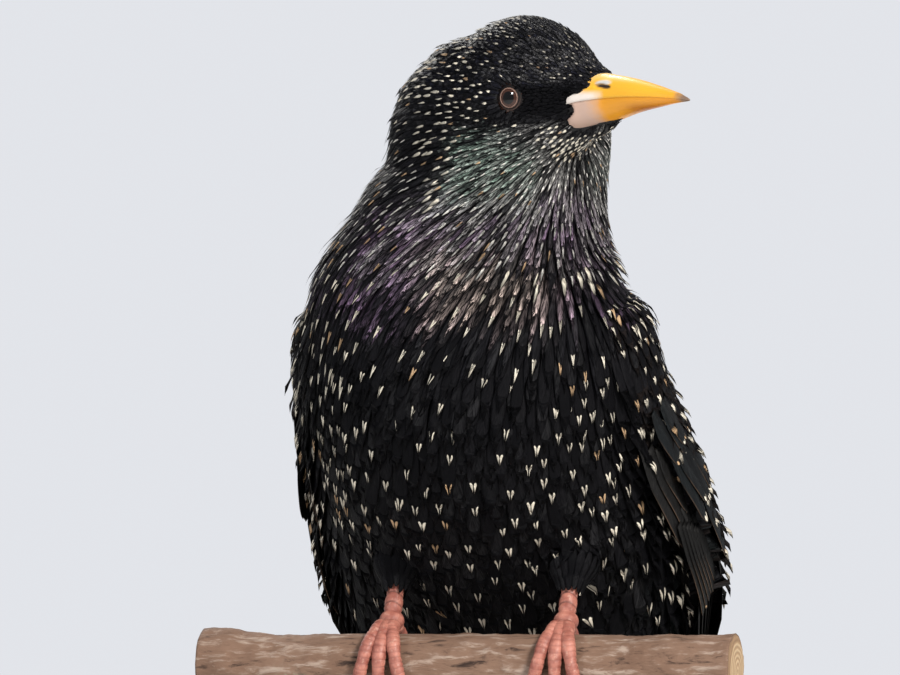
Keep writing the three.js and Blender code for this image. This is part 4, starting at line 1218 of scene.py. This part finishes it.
# %% Tail
TAIL_PAIRS, TAIL_FROM, TAIL_TO, TAIL_FORK = 6, 49, 3.6, 0.35
TAIL_TOP, TAIL_LAYER, TAIL_HALF, TAIL_TAPER, TAIL_SLOPE = 0.6, 0.35, 3.7, 5, 0.06
tail_vanes = []
for i in range(TAIL_PAIRS):
    for sign in (-1, 1):
        line = between(TAIL_FROM, TAIL_TO - TAIL_FORK * i, SHARES)
        place, across, back, _ = section(line)
        height = TAIL_TOP - TAIL_LAYER * i - (0 if sign > 0 else TAIL_LAYER / 2)
        centre = place + across * (sign * between(1.2 + i, 1.9 + 1.8 * i, SHARES))[:, None] + back * height
        tail_vanes.append(vane_shape(centre, back, TAIL_HALF, TAIL_TAPER, sign * TAIL_SLOPE))
place, across, back, size = section(np.linspace(STATION_AT[3], 40, 12))
turn = full_turn(28)
wide, thick = size[:, 0] * np.linspace(0.85, 0.75, 12), size[:, 1] * np.linspace(0.8, 0.3, 12)
root_rings = place[:, None] + across[:, None] * (wide[:, None] * np.cos(turn))[..., None]
root_rings += back[:, None] * (thick[:, None] * np.sin(turn) - 0.5)[..., None]
finished(vane_piece("tail_feathers", tail_vanes, "flight", 0.3), "tail_feathers", "tail")
finished(mesh_piece("tail_root", *loft(root_rings), downy_skin), "tail_feathers", "tail")

# %% [markdown]
# The bill is horn over bone: two long halves, bright yellow, pinkish at the gape and darkening to the tip,
# with a painted highlight along the ridge. The lower half runs from pink at its base into amber, the yellow
# in painted shade, and is darker still along its underside, also painted shade. Each half is lofted from
# half-round sections. The nostril is a slit under a small flap, sunk into the side of the upper half near its
# base, and the slit is painted near black as shade.

# %% The bill's horn
IVORY, RIDGE_HIGHLIGHT, GAPE_PALE = (0.72, 0.54, 0.37, 1), (0.88, 0.62, 0.25, 1), (0.8, 0.72, 0.66, 1)
YELLOW, ORANGE = (0.86, 0.44, 0.03, 1), (0.72, 0.22, 0.012, 1)
PINK, SHADED_AMBER, SHADED_RUSSET = (0.56, 0.385, 0.31, 1), (0.8, 0.33, 0.016, 1), (0.36, 0.09, 0.012, 1)
TIP_BROWN, FLAP_GREY, NOSTRIL_SHADE = (0.2, 0.13, 0.09, 1), (0.6, 0.58, 0.55, 1), (0.035, 0.02, 0.016, 1)
bill_horn, n, shader = new_material("bill horn", 0.34, Specular_IOR_Level=0.5, Coat_Roughness=0.25)
place = n.object_place()
forward = n.minus(n.vector("DOT_PRODUCT", place, tuple(FORWARD), "Value"), float(HEAD_PLACE @ FORWARD) * MM)
height = n.minus(n.split(place)[2], float(HEAD_PLACE[2]) * MM)
out_along = n.plus(forward, n.times(n.minus(n.noise(place, 240.0, 3.0), 0.5), 0.005))
upper = n.mix(n.ramp(out_along, 0.0095, 0.0135), IVORY, YELLOW)
# painted highlight: the top of the upper half turns paler along the ridge
ridge = n.times(n.ramp(height, 0.0022, 0.0038), n.ramp(out_along, 0.013, 0.03, 0.8, 0.1))
gape = n.times(n.fade(height, 0.0, 0.0012), n.fade(out_along, 0.0135, 0.0165))
upper = n.mix(gape, n.mix(ridge, upper, RIDGE_HIGHLIGHT), GAPE_PALE)
# painted shade: the lower half is amber, and darker still along its underside
underside_shade = n.times(n.fade(height, -0.0024, -0.0008), n.ramp(out_along, 0.018, 0.026))
lower = n.mix(underside_shade, n.mix(n.ramp(out_along, 0.0125, 0.0165), PINK, SHADED_AMBER), SHADED_RUSSET)
colour = n.mix(n.read("upper"), lower, upper)
colour = n.mix(n.ramp(out_along, 0.0225, 0.0325, 0.0, 0.35), colour, ORANGE)
colour = n.mix(n.ramp(out_along, 0.0305, 0.0335), colour, TIP_BROWN)
colour = n.mix(n.read("flap"), colour, FLAP_GREY)
# painted shade: the nostril slit is near black
n.feed(n.mix(n.read("slit"), colour, NOSTRIL_SHADE), shader.inputs["Base Color"])
lines = n.noise(n.stretched(place, (1, 0.12, 1), turn=(0, 0, HEAD_TURN)), 2600.0, 3.0)
n.feed(n.ramp(lines, 0.2, 0.8, 0.28, 0.42), shader.inputs["Roughness"])
n.bump(shader, lines, 0.12, 0.0001)
print("finish:", bill_horn.name)

# %% Both halves of the bill
BILL_SECTIONS = np.array([
    # forward, top, mouth, under, half width
    [6.6, 1.2, -1.7, -5.4, 3.6], [8.4, 2.5, -1.3, -5.7, 4.5], [11.5, 3.8, -0.8, -5.1, 4.1],
    [15.7, 3.5, -0.4, -4.15, 3.3], [21.2, 2.75, -0.15, -2.8, 2.75], [26.7, 1.6, -0.2, -1.85, 1.9],
    [31.4, 0.45, -0.45, -1.15, 0.85], [33.3, -0.25, -0.65, -0.95, 0.33], [33.9, -0.55, -0.72, -0.85, 0.12],
])
NOSTRIL = np.array([15.8, 1.9])


def mandible(upper):
    """Points and faces of one half, and the masks that its finish reads."""
    f = np.linspace(BILL_SECTIONS[0, 0], BILL_SECTIONS[-1, 0], 110)
    sizes = smooth_curve(BILL_SECTIONS, np.interp(f, BILL_SECTIONS[:, 0], np.arange(len(BILL_SECTIONS))))
    edge = sizes[:, 2] + (-0.05 if upper else 0.12)
    reach = sizes[:, 1 if upper else 3] - edge
    turn = np.linspace(0, math.pi, 49)
    square = 0.95 if upper else np.interp(f, [7, 9, 20], [0.62, 0.68, 0.95])[:, None]
    left = sizes[:, 4:] * np.sign(np.cos(turn)) * np.abs(np.cos(turn)) ** square
    rise = np.abs(reach)[:, None] * np.sin(turn) ** (0.9 * square)
    slit, flap = np.zeros_like(left), np.zeros_like(left)
    if upper:
        at, high = f[:, None] - NOSTRIL[0], edge[:, None] + rise - NOSTRIL[1]
        off_ridge = np.abs(left) > 0.5
        slit = (1 - soft_step(np.hypot(at / 1.7, (high + 0.3 + 0.1 * at) / 0.36), 0.7, 1.15)) * off_ridge
        flap = (1 - soft_step(np.hypot((at + 0.1) / 1.8, (high - 0.28) / 0.5), 0.6, 1.15)) * off_ridge
        flap = flap * (1 - slit)
        left = left * (1 - 0.14 * slit + 0.06 * flap)
    else:
        # the skin of the chin runs out over the horn in a blunt notch
        down = (rise / np.abs(reach)[:, None] - 0.3) / 0.3
        notch = 8.3 + 1.9 * np.clip(1 - down ** 2, 0, 1)
        left = left * (0.97 - 0.3 * (1 - soft_step(f[:, None], notch - 0.7, notch)))
    up = edge[:, None] + np.sign(reach)[:, None] * rise
    points, faces = loft(in_head(f[:, None] + 0 * left, left, up))
    masks = {"slit": slit, "flap": flap, "upper": np.full(left.shape, float(upper))}
    return points, faces, {label: np.append(mask, [mask[0, 0], mask[-1, 0]]) for label, mask in masks.items()}


for half in ("upper", "lower"):
    points, faces, masks = mandible(half == "upper")
    piece = mesh_piece(f"bill_{half}_horn", points, faces, bill_horn)
    for label, values in masks.items():
        keep_values(piece, label, values)
    finished(piece, "bill", "bill_" + half)

# %% [markdown]
# The eye is a dark wet ball. A round pupil is hardly told from the brown iris, and a bright gloss over both
# gives it life. Bare lids ring it: a thin pale inner rim and a fainter one outside, with a dark line between.

# %% Eyes and lids
PUPIL, IRIS_DARK, IRIS_BROWN = (0.0015, 0.001, 0.0012, 1), (0.02, 0.008, 0.005, 1), (0.075, 0.028, 0.017, 1)
LID_DARK, RIM_DARK, RIM_PALE = (0.006, 0.0055, 0.006, 1), (0.11, 0.06, 0.048, 1), (0.36, 0.23, 0.185, 1)
wet_eye, n, shader = new_material("eye", 0.03, Specular_IOR_Level=0.5)
threads = n.noise(n.object_place(), 1800.0, 3.0)
brown = n.mix(threads, IRIS_DARK, IRIS_BROWN)
n.feed(n.mix(n.ramp(n.read("off_axis"), 0.95, 1.2), PUPIL, brown), shader.inputs["Base Color"])
n.feed(n.ramp(threads, 0.0, 1.0, 0.02, 0.05), shader.inputs["Roughness"])
lid_skin, n, shader = new_material("lid skin", 0.6, Specular_IOR_Level=0.12)
place = n.object_place()
pale = n.mix(n.noise(place, 1700.0, 3.0), RIM_DARK, RIM_PALE)
n.feed(n.mix(n.read("rim"), LID_DARK, pale), shader.inputs["Base Color"])
n.bump(shader, n.noise(place, 3500.0, 2.0), 0.5, 0.0001)
# distance from the eye's axis, height over the ball and paleness, from the lid's edge outwards
LID = np.array([
    [1.5, 0.0, 0.4], [1.53, 0.1, 0.85], [1.6, 0.16, 1], [1.69, 0.12, 0.7], [1.75, 0.04, 0.05],
    [1.88, 0.02, 0], [1.98, 0.03, 0.15], [2.06, 0.05, 0.3], [2.14, 0.02, 0.05], [2.5, -0.02, 0],
    [3.0, -0.1, 0], [3.4, -0.4, 0],
])
LID_RINGS, LID_POINTS = 40, 72


def lid_shape(middle, axis, level, high):
    """A closed ring over the ball, half a millimetre sunk on its inner side, and how pale it is."""
    turn = full_turn(LID_POINTS)
    out = np.cos(turn)[:, None] * level + np.sin(turn)[:, None] * high
    s = np.linspace(0, len(LID) - 1, LID_RINGS)
    radius, lift, pale = (np.interp(s, np.arange(len(LID)), LID[:, k]) for k in range(3))
    wave = 1 + 0.02 * np.sin(turn * 2 + 0.6) + 0.012 * np.sin(turn * 19)
    both = np.concatenate([radius, radius[::-1]])
    reach = np.sqrt(EYE_RADIUS ** 2 - both ** 2) + np.concatenate([lift, np.full(LID_RINGS, -0.5)])
    rings = middle + out * (both[:, None] * wave)[..., None] + (reach[:, None] * axis)[:, None]
    faces = grid_faces(len(rings), LID_POINTS, closed=True).tolist()
    last = (len(rings) - 1) * LID_POINTS
    faces += [[last + c, last + (c + 1) % LID_POINTS, (c + 1) % LID_POINTS, c] for c in range(LID_POINTS)]
    low_left = 0.1 + 0.9 * soft_step(-np.sin(turn), -0.4, 0.9)
    shade = pale[:, None] * np.where(radius[:, None] > 1.8, low_left, 1.0)
    return rings.reshape(-1, 3), faces, np.concatenate([shade, 0 * shade]).ravel()


for side in SIDES:
    middle, axis = EYE_PLACE[side], EYE_AXIS[side]
    level = unit(np.cross(axis, UP))
    high = np.cross(level, axis)
    points, faces = ball(middle, EYE_RADIUS, axis, level, high, 40, 56, 0.04)
    eye = mesh_piece("eye_ball_" + side, points, faces, wet_eye)
    keep_values(eye, "off_axis", np.linalg.norm(from_eye(points, side)[1], axis=1))
    finished(eye, "eyes", "eye_" + side)
    points, faces, shade = lid_shape(middle, axis, level, high)
    lid = mesh_piece("lids_" + side, points, faces, lid_skin)
    keep_values(lid, "rim", shade)
    if sum(p.normal.dot(Vector(axis)) for p in lid.data.polygons[:600]) < 0:
        lid.data.flip_normals()
    finished(lid, "plumage")

# %% [markdown]
# Legs and toes are bare and pinkish red, covered in plates: broad scutes in front of each toe joint, with
# thin dark creases between them. A tube follows each toe round the perch, swelling over every joint, and its
# surface is stepped at the creases. The claws are curved horn, drawn out to a point.

# %% Skin and horn of the feet
RED_DARK, RED, RED_PALE = (0.25, 0.075, 0.055, 1), (0.48, 0.19, 0.14, 1), (0.6, 0.36, 0.28, 1)
CREASE, CLAW_DARK, CLAW_BROWN = (0.13, 0.045, 0.035, 1), (0.035, 0.025, 0.02, 1), (0.14, 0.09, 0.065, 1)
scutes, n, shader = new_material("leg scutes", 0.5, Specular_IOR_Level=0.45)
place = n.object_place()
red = n.mix(n.ramp(n.noise(place, 500.0, 5.0), 0.3, 0.7), RED_DARK, RED)
red = n.mix(n.ramp(n.noise(place, 1300.0, 3.0), 0.55, 0.75, 0.0, 0.5), red, RED_PALE)
n.feed(n.mix(n.times(n.read("crease"), 0.8), red, CREASE), shader.inputs["Base Color"])
n.feed(n.ramp(n.noise(place, 900.0, 2.0), 0.3, 0.7, 0.42, 0.62), shader.inputs["Roughness"])
n.bump(shader, n.noise(place, 2400.0, 3.0), 0.4, 0.0002)
claw_horn, n, shader = new_material("claw horn", 0.35, Specular_IOR_Level=0.5)
place = n.object_place()
n.feed(n.mix(n.noise(place, 700.0, 4.0), CLAW_DARK, CLAW_BROWN), shader.inputs["Base Color"])
n.bump(shader, n.noise(place, 3000.0, 2.0), 0.2, 0.0001)
print("finishes:", scutes.name, "and", claw_horn.name)

# %% Legs, toes and claws
TARSUS_SHOWN, TOE_RADIUS, CLAW_ROOT, CLAW_TIP = 5.6, 1.35, 0.85, 0.14
PERCH_Z = PERCH_TOP - PERCH_RADIUS
# spread, angles round the perch where the toe begins and ends, and the angle that its claw takes up
TOES = {"inner": (-3.4, 72, -35, 48), "middle": (0.2, 72, -72, 46), "outer": (3.8, 72, -48, 44),
        "hind": (-0.4, 108, 176, 62)}


def toe_point(side, spread, begin, end, degrees, radius):
    along = np.abs(degrees - begin) / abs(end - begin)
    reach = PERCH_RADIUS + 0.3 + radius
    x = FOOT_X[side] + SIDES[side] * spread * np.minimum(1.15, 0.25 + along)
    turn = np.radians(degrees)
    return np.stack([x, PERCH_Y - reach * np.cos(turn), PERCH_Z + reach * np.sin(turn)], -1)


def scaly(places, radii, scales, sides=20):
    """A tube with a raised plate over each scale and a crease between; gives the crease mask too."""
    turn = full_turn(sides)
    tooth = (np.linspace(0, 1, len(places)) * scales) % 1.0
    tooth = (tooth[:, None] + 0.12 * np.cos(2 * turn)) % 1.0
    outer = soft_step(np.sin(turn), -0.35, 0.1)
    crease = (1 - soft_step(np.minimum(tooth, 1 - tooth), 0.02, 0.15)) * (0.35 + 0.65 * outer)
    rings = tube(places, radii, sides)
    middle = rings.mean(1, keepdims=True)
    rings = middle + (rings - middle) * (1 + 0.03 * np.sin(math.pi * tooth) - 0.05 * crease)[..., None]
    return *loft(rings), np.append(crease, [0, 0])


def scaly_piece(name, parts):
    piece = mesh_piece(name, *join_shapes([(p, f) for p, f, _ in parts]), scutes)
    keep_values(piece, "crease", np.concatenate([mask for _, _, mask in parts]))
    return piece


for side in SIDES:
    parts = []
    for toe, (spread, begin, end, claw) in TOES.items():
        t = np.linspace(0, 1, 200)
        knuckle = 0.84 + 0.16 * np.abs(np.cos(math.pi * 3 * t)) ** 0.8
        places = toe_point(side, spread, begin, end, between(begin, end, t), TOE_RADIUS * 0.96)
        parts.append(scaly(places, TOE_RADIUS * (1 - 0.28 * t) * knuckle, 10 if toe == "hind" else 17))
        t = np.linspace(0, 1, 24)
        angle = end + (1 if end > begin else -1) * (2.4 + claw * t)
        line = toe_point(side, spread, begin, end, angle, between(TOE_RADIUS, 0.2, t ** 2))
        shape = loft(tube(line, between(CLAW_ROOT, CLAW_TIP, t ** 0.8)))
        finished(mesh_piece(f"claw_{toe}_{side}_horn", *shape, claw_horn), "claws", f"claw_{toe}_{side}")
    heel = leg_point(side, np.array([0.0]))[0] + [0, 0, -0.45]
    points, faces = ball(heel, 2.1, [0, 0, 0.9], [1, 0, 0], [0, 1, 0], 24, 28, 0.05)
    parts.append((points, faces, np.zeros(len(points))))
    finished(scaly_piece("toes_" + side, parts), "legs", "foot_" + side)
    d = np.linspace(0.3, TARSUS_SHOWN + 1.2, 70)
    radii = TOE_RADIUS * np.interp(d, [0.3, 1.6, 3, 4.5, 7], [0.8, 1.1, 1.1, 1.0, 1.1])
    finished(scaly_piece("leg_" + side, [scaly(leg_point(side, d), radii, 3.4)]), "legs", "tarsus_" + side)

# %% [markdown]
# Three rings of narrow feathers hang over the top of each leg, like a cuff, and hide where it meets the
# belly.

# %% Feathers over the top of each leg
# where a ring's feathers start and end, how far out they stand there, and how many they are
CUFFS = ((11.0, 6.2, 4.0, 18), (9.6, 5.3, 3.5, 16), (8.4, 4.5, 3.0, 14))
for side in SIDES:
    cuffs = []
    for start, end, wide, count in CUFFS:
        for turn in full_turn(count) + rng.uniform(0, 0.4):
            d = between(start, end + rng.uniform(-0.5, 0.5), SHARES)
            radius = np.interp(d, [4.2, 6.5, 9, 12], [1.8, 2.5, wide, wide + 0.5])
            out = math.cos(turn) * np.array([1.0, 0, 0]) + math.sin(turn) * np.cross(LEG_LINE, [1.0, 0, 0])
            centre, normal = leg_point(side, d) + out * radius[:, None], np.tile(out, (len(d), 1))
            cuffs.append(vane_shape(centre, normal, 0.9, 1.7, 0.12, thick=0.16, ragged=0.05))
    finished(vane_piece("leg_feathers_" + side, cuffs, "body", 0.08), "plumage")

# %% [markdown]
# The perch is a cut twig with its bark on: cracked along its length, patched with a little lichen, and sawn
# pale and ringed at both ends. Its body is one lofted log whose radius wanders a little, as a twig's does.

# %% Perch
BARK_DARK, BARK_BROWN, BARK_PALE = (0.13, 0.07, 0.045, 1), (0.27, 0.17, 0.12, 1), (0.42, 0.33, 0.27, 1)
CRACK, LICHEN = (0.035, 0.02, 0.015, 1), (0.3, 0.32, 0.25, 1)
RING_DARK, RING_PALE, SAP_RIM = (0.36, 0.24, 0.14, 1), (0.52, 0.38, 0.24, 1), (0.3, 0.19, 0.11, 1)
bark, n, shader = new_material("twig bark", 0.85, Specular_IOR_Level=0.3)
place = n.object_place()
cut = n.read("cut")
cracks = n.noise(n.stretched(place, (0.22, 1, 1)), 700.0, 6.0, 0.65, 0.4)
brown = n.mix(n.noise(place, 120.0, 4.0), BARK_DARK, BARK_BROWN)
brown = n.mix(n.ramp(cracks, 0.5, 0.68, 0.0, 0.8), brown, BARK_PALE)
brown = n.mix(n.fade(cracks, 0.3, 0.45), brown, CRACK)
lichen = n.times(n.ramp(n.noise(place, 60.0, 5.0), 0.6, 0.7), n.ramp(n.noise(place, 500.0, 3.0), 0.4, 0.6))
brown = n.mix(n.times(lichen, 0.5), brown, LICHEN)
centred = n.vector("SUBTRACT", place, (0, PERCH_Y * MM, PERCH_Z * MM))
radius = n.vector("LENGTH", n.vector("MULTIPLY", centred, (0, 1, 1)), None, "Value")
wobble = n.times(n.noise(place, 200.0, 2.0), 0.0012)
ringed = n.math("SINE", n.times(n.plus(radius, wobble), 6500.0))
wood = n.mix(n.ramp(ringed, -1.0, 1.0), RING_DARK, RING_PALE)
wood = n.mix(n.ramp(radius, 0.0045, 0.0052), wood, SAP_RIM)
n.feed(n.mix(cut, brown, wood), shader.inputs["Base Color"])
n.bump(shader, n.mix(cut, cracks, n.times(ringed, 0.1)), 0.9, 0.0006)

PERCH_HALF, GRIPPED, PERCH_SIDES = 46, 22.5, 48
CUT_SHARES = (0.3, 0.6, 0.97)
x = np.linspace(-PERCH_HALF, PERCH_HALF, 240)
free = np.maximum(0, np.abs(x) - GRIPPED) / PERCH_HALF
line = np.stack([x, PERCH_Y + 2.2 * free * np.sin(x / 9), PERCH_Z + 1.8 * free * np.cos(x / 7)], -1)
rings = tube(line, PERCH_RADIUS - 0.9 * free * (1 + np.sin(x / 3)), PERCH_SIDES)
away = unit(rings - line[:, None])
rough = 0.16 * sway(rings * [0.3, 1, 1], 3, 0.8) + 0.1 * sway(rings * [0.5, 1, 1], 4, 0.4)
grip = np.min([np.abs(x - foot) for foot in FOOT_X.values()], axis=0)
rings += away * (np.minimum(rough, 0.25) * soft_step(grip, 6, 10)[:, None])[..., None]
caps = [(rings[0] - line[0]) * s + line[0] + [-0.15 * (1 - s), 0, 0] for s in CUT_SHARES]
ends = [(rings[-1] - line[-1]) * s + line[-1] + [0.15 * (1 - s), 0, 0] for s in CUT_SHARES[::-1]]
perch = mesh_piece("perch_twig", *loft(np.concatenate([caps, rings, ends])), bark)
is_cut = np.pad(np.zeros(len(rings)), len(caps), constant_values=1)
keep_values(perch, "cut", np.append(np.repeat(is_cut, PERCH_SIDES), [1, 1]))
finished(perch, "perch_bark", "stand_perch")

# %% [markdown]
# Two brass rods rise from a turned base of dark oiled hardwood. The base is a lathe profile with a bead and a
# cove, the grain runs straight through it as through a disc sawn from a plank, and it is waxed.

# %% Brass and hardwood
BRASS, TARNISH = (0.62, 0.46, 0.22, 1), (0.28, 0.2, 0.11, 1)
WOOD_DARK, WOOD_BROWN, PORE = (0.055, 0.022, 0.012, 1), (0.16, 0.07, 0.036, 1), (0.02, 0.009, 0.006, 1)
brass, n, shader = new_material("aged brass", 0.3, metallic=1.0)
place = n.object_place()
tarnish = n.noise(place, 70.0, 5.0, 0.6)
n.feed(n.mix(n.ramp(tarnish, 0.4, 0.65), BRASS, TARNISH), shader.inputs["Base Color"])
drawn = n.noise(n.stretched(place, (1, 1, 0.03)), 3000.0, 3.0)
n.feed(n.ramp(n.plus(drawn, tarnish), 0.7, 1.3, 0.22, 0.5), shader.inputs["Roughness"])
n.bump(shader, drawn, 0.15, 0.0001)
hardwood, n, shader = new_material("oiled hardwood", 0.35, Specular_IOR_Level=0.5, Coat_Roughness=0.2)
place = n.object_place()
plank = n.stretched(place, (0.12, 1, 1), turn=(0.12, 0.06, 0.3), shift=(0.11, 0.02, 0.05))
bands = n.add("ShaderNodeTexWave", {"Vector": plank, "Scale": 42.0, "Distortion": 9.0, "Detail": 3.0,
                                    "Detail Scale": 1.3, "Detail Roughness": 0.6},
              wave_type="BANDS", bands_direction="Y").outputs["Fac"]
pores = n.noise(n.stretched(place, (0.06, 1, 1)), 1600.0, 4.0)
wood = n.mix(bands, WOOD_DARK, WOOD_BROWN)
n.feed(n.mix(n.ramp(pores, 0.3, 0.48, 0.75, 0.0), wood, PORE), shader.inputs["Base Color"])
n.feed(n.ramp(pores, 0.3, 0.7, 0.5, 0.3), shader.inputs["Roughness"])
n.feed(n.ramp(pores, 0.3, 0.5, 0.05, 0.35), shader.inputs["Coat Weight"])
n.bump(shader, pores, 0.25, 0.0002)
print("finishes:", brass.name, "and", hardwood.name)

# %% Stand
# radius and height of each profile
BASE_PROFILE = [
    (0.5, 0.0), (54.8, 0.0), (56.2, 0.2), (57.4, 0.9), (58, 2.0), (58, 4.6), (57.6, 5.3), (56.6, 5.7),
    (56.6, 6.1), (57.1, 6.5), (57.3, 7.4), (57, 8.6), (56.3, 9.8), (55.1, 10.8), (53.4, 11.4), (51.8, 11.6),
    (51.4, 11.9), (50.4, 12.0), (30, 12.0), (0.5, 12.0),
]
ROD_X = 33
ROD_PROFILE = [(0.3, 12.3), (1.9, 12.3), (2.0, 12.5), (2.0, 93), (2.0, 94.8), (0.3, 94.9)]
COLLAR_PROFILE = [(2.05, 12.15), (4.4, 12.15), (4.6, 12.5), (4.4, 13.1), (3.4, 13.6), (2.6, 14.0),
                  (2.05, 14.2)]


def turned(profile, sides):
    """Rings of a body turned on a lathe."""
    turn = full_turn(sides)
    profile = np.asarray(profile, float)
    return np.stack([profile[:, :1] * np.cos(turn), profile[:, :1] * np.sin(turn),
                     profile[:, 1:] + 0 * turn], -1)


finished(mesh_piece("base_turned", *loft(turned(BASE_PROFILE, 128)), hardwood), "stand_wood", "stand_base")
for side, sign in SIDES.items():
    foot = [sign * ROD_X, PERCH_Y, 0]
    shapes = [loft(turned(ROD_PROFILE, 40) + foot), loft(turned(COLLAR_PROFILE, 48) + foot)]
    finished(mesh_piece("rod_" + side, *join_shapes(shapes), brass), "stand_rods", "stand_rod_" + side)

# %% [markdown]
# Last come floor, lights and camera. The floor is a large pale disc under a pale sky. A small key light
# stands at the upper right in front, as the sun did, a smaller one at the left puts a spark in the eye, and a
# third from behind picks out the edge. The camera looks from the bird's front left at the height of its
# breast, from far off, so nothing is bent.

# %% Floor, lights and camera
FLOOR_RADIUS, FLOOR_Z, FLOOR_SIDES = 2400, -0.2, 96
bpy.data.objects.remove(lie)
paper, n, shader = new_material("pale paper", 0.9)
grain = n.noise(n.object_place(), 3.0, 2.0)
n.feed(n.mix(grain, (0.7, 0.7, 0.69, 1), (0.74, 0.74, 0.73, 1)), shader.inputs["Base Color"])
turn = full_turn(FLOOR_SIDES)
rim = np.stack([FLOOR_RADIUS * np.cos(turn), FLOOR_RADIUS * np.sin(turn), 0 * turn + FLOOR_Z], -1)
floor = mesh_piece("floor", rim, [list(range(FLOOR_SIDES))], paper, smooth=False)
world = bpy.data.worlds.new("studio")
bpy.context.scene.world = world
world.use_nodes = True
n = Nodes(world.node_tree)
sky = world.node_tree.nodes["Background"]
sky.inputs[0].default_value = (0.93, 0.95, 1.0, 1)
seen = n.add("ShaderNodeLightPath").outputs["Is Camera Ray"]
n.feed(n.ramp(seen, 0.0, 1.0, 0.3, 0.82), sky.inputs["Strength"])
bpy.context.scene.view_settings.view_transform = "Standard"


def aimed(name, data, place, way):
    """A light or camera at a place, looking along a way."""
    holder = bpy.data.objects.new(name, data)
    holder.location = place
    holder.rotation_euler = way.to_track_quat("-Z", "Y").to_euler()
    bpy.context.scene.collection.objects.link(holder)
    return holder


MIDDLE = Vector((0.0, -0.01, 0.13))
for name, place, size, power, colour in (("key", (0.95, -0.85, 0.95), 0.3, 29, (1.0, 0.96, 0.9)),
                                         ("catch", (-0.6, -1.1, 0.62), 0.16, 5, (0.95, 0.97, 1.0)),
                                         ("rim", (-0.6, 1.0, 0.8), 0.5, 12, (1.0, 0.98, 0.95))):
    lamp = bpy.data.lights.new(name, "AREA")
    lamp.size, lamp.energy, lamp.color = size, power, colour
    aimed(name, lamp, place, MIDDLE - Vector(place))

AZIMUTH, ELEVATION, FRAME_WIDTH = math.radians(15), math.radians(0.3), 0.150
SHIFT_RIGHT, AIM_HEIGHT = -0.00633, 0.15025
right = Vector((math.cos(AZIMUTH), math.sin(AZIMUTH), 0))
level = Vector((math.sin(AZIMUTH), -math.cos(AZIMUTH), 0))
toward_camera = level * math.cos(ELEVATION) + Vector((0, 0, math.sin(ELEVATION)))
lens = bpy.data.cameras.new("camera")
lens.lens, lens.sensor_width = 1200, 36
lens.clip_start, lens.clip_end = 0.1, 60
away = FRAME_WIDTH * lens.lens / lens.sensor_width
aim = right * SHIFT_RIGHT + Vector((0, 0, AIM_HEIGHT))
camera = aimed("camera", lens, aim + toward_camera * away, -toward_camera)
bpy.context.scene.camera = camera
print("camera", round(away, 3), "m away, height", round(camera.location.z, 4), "m")

# %% [markdown]
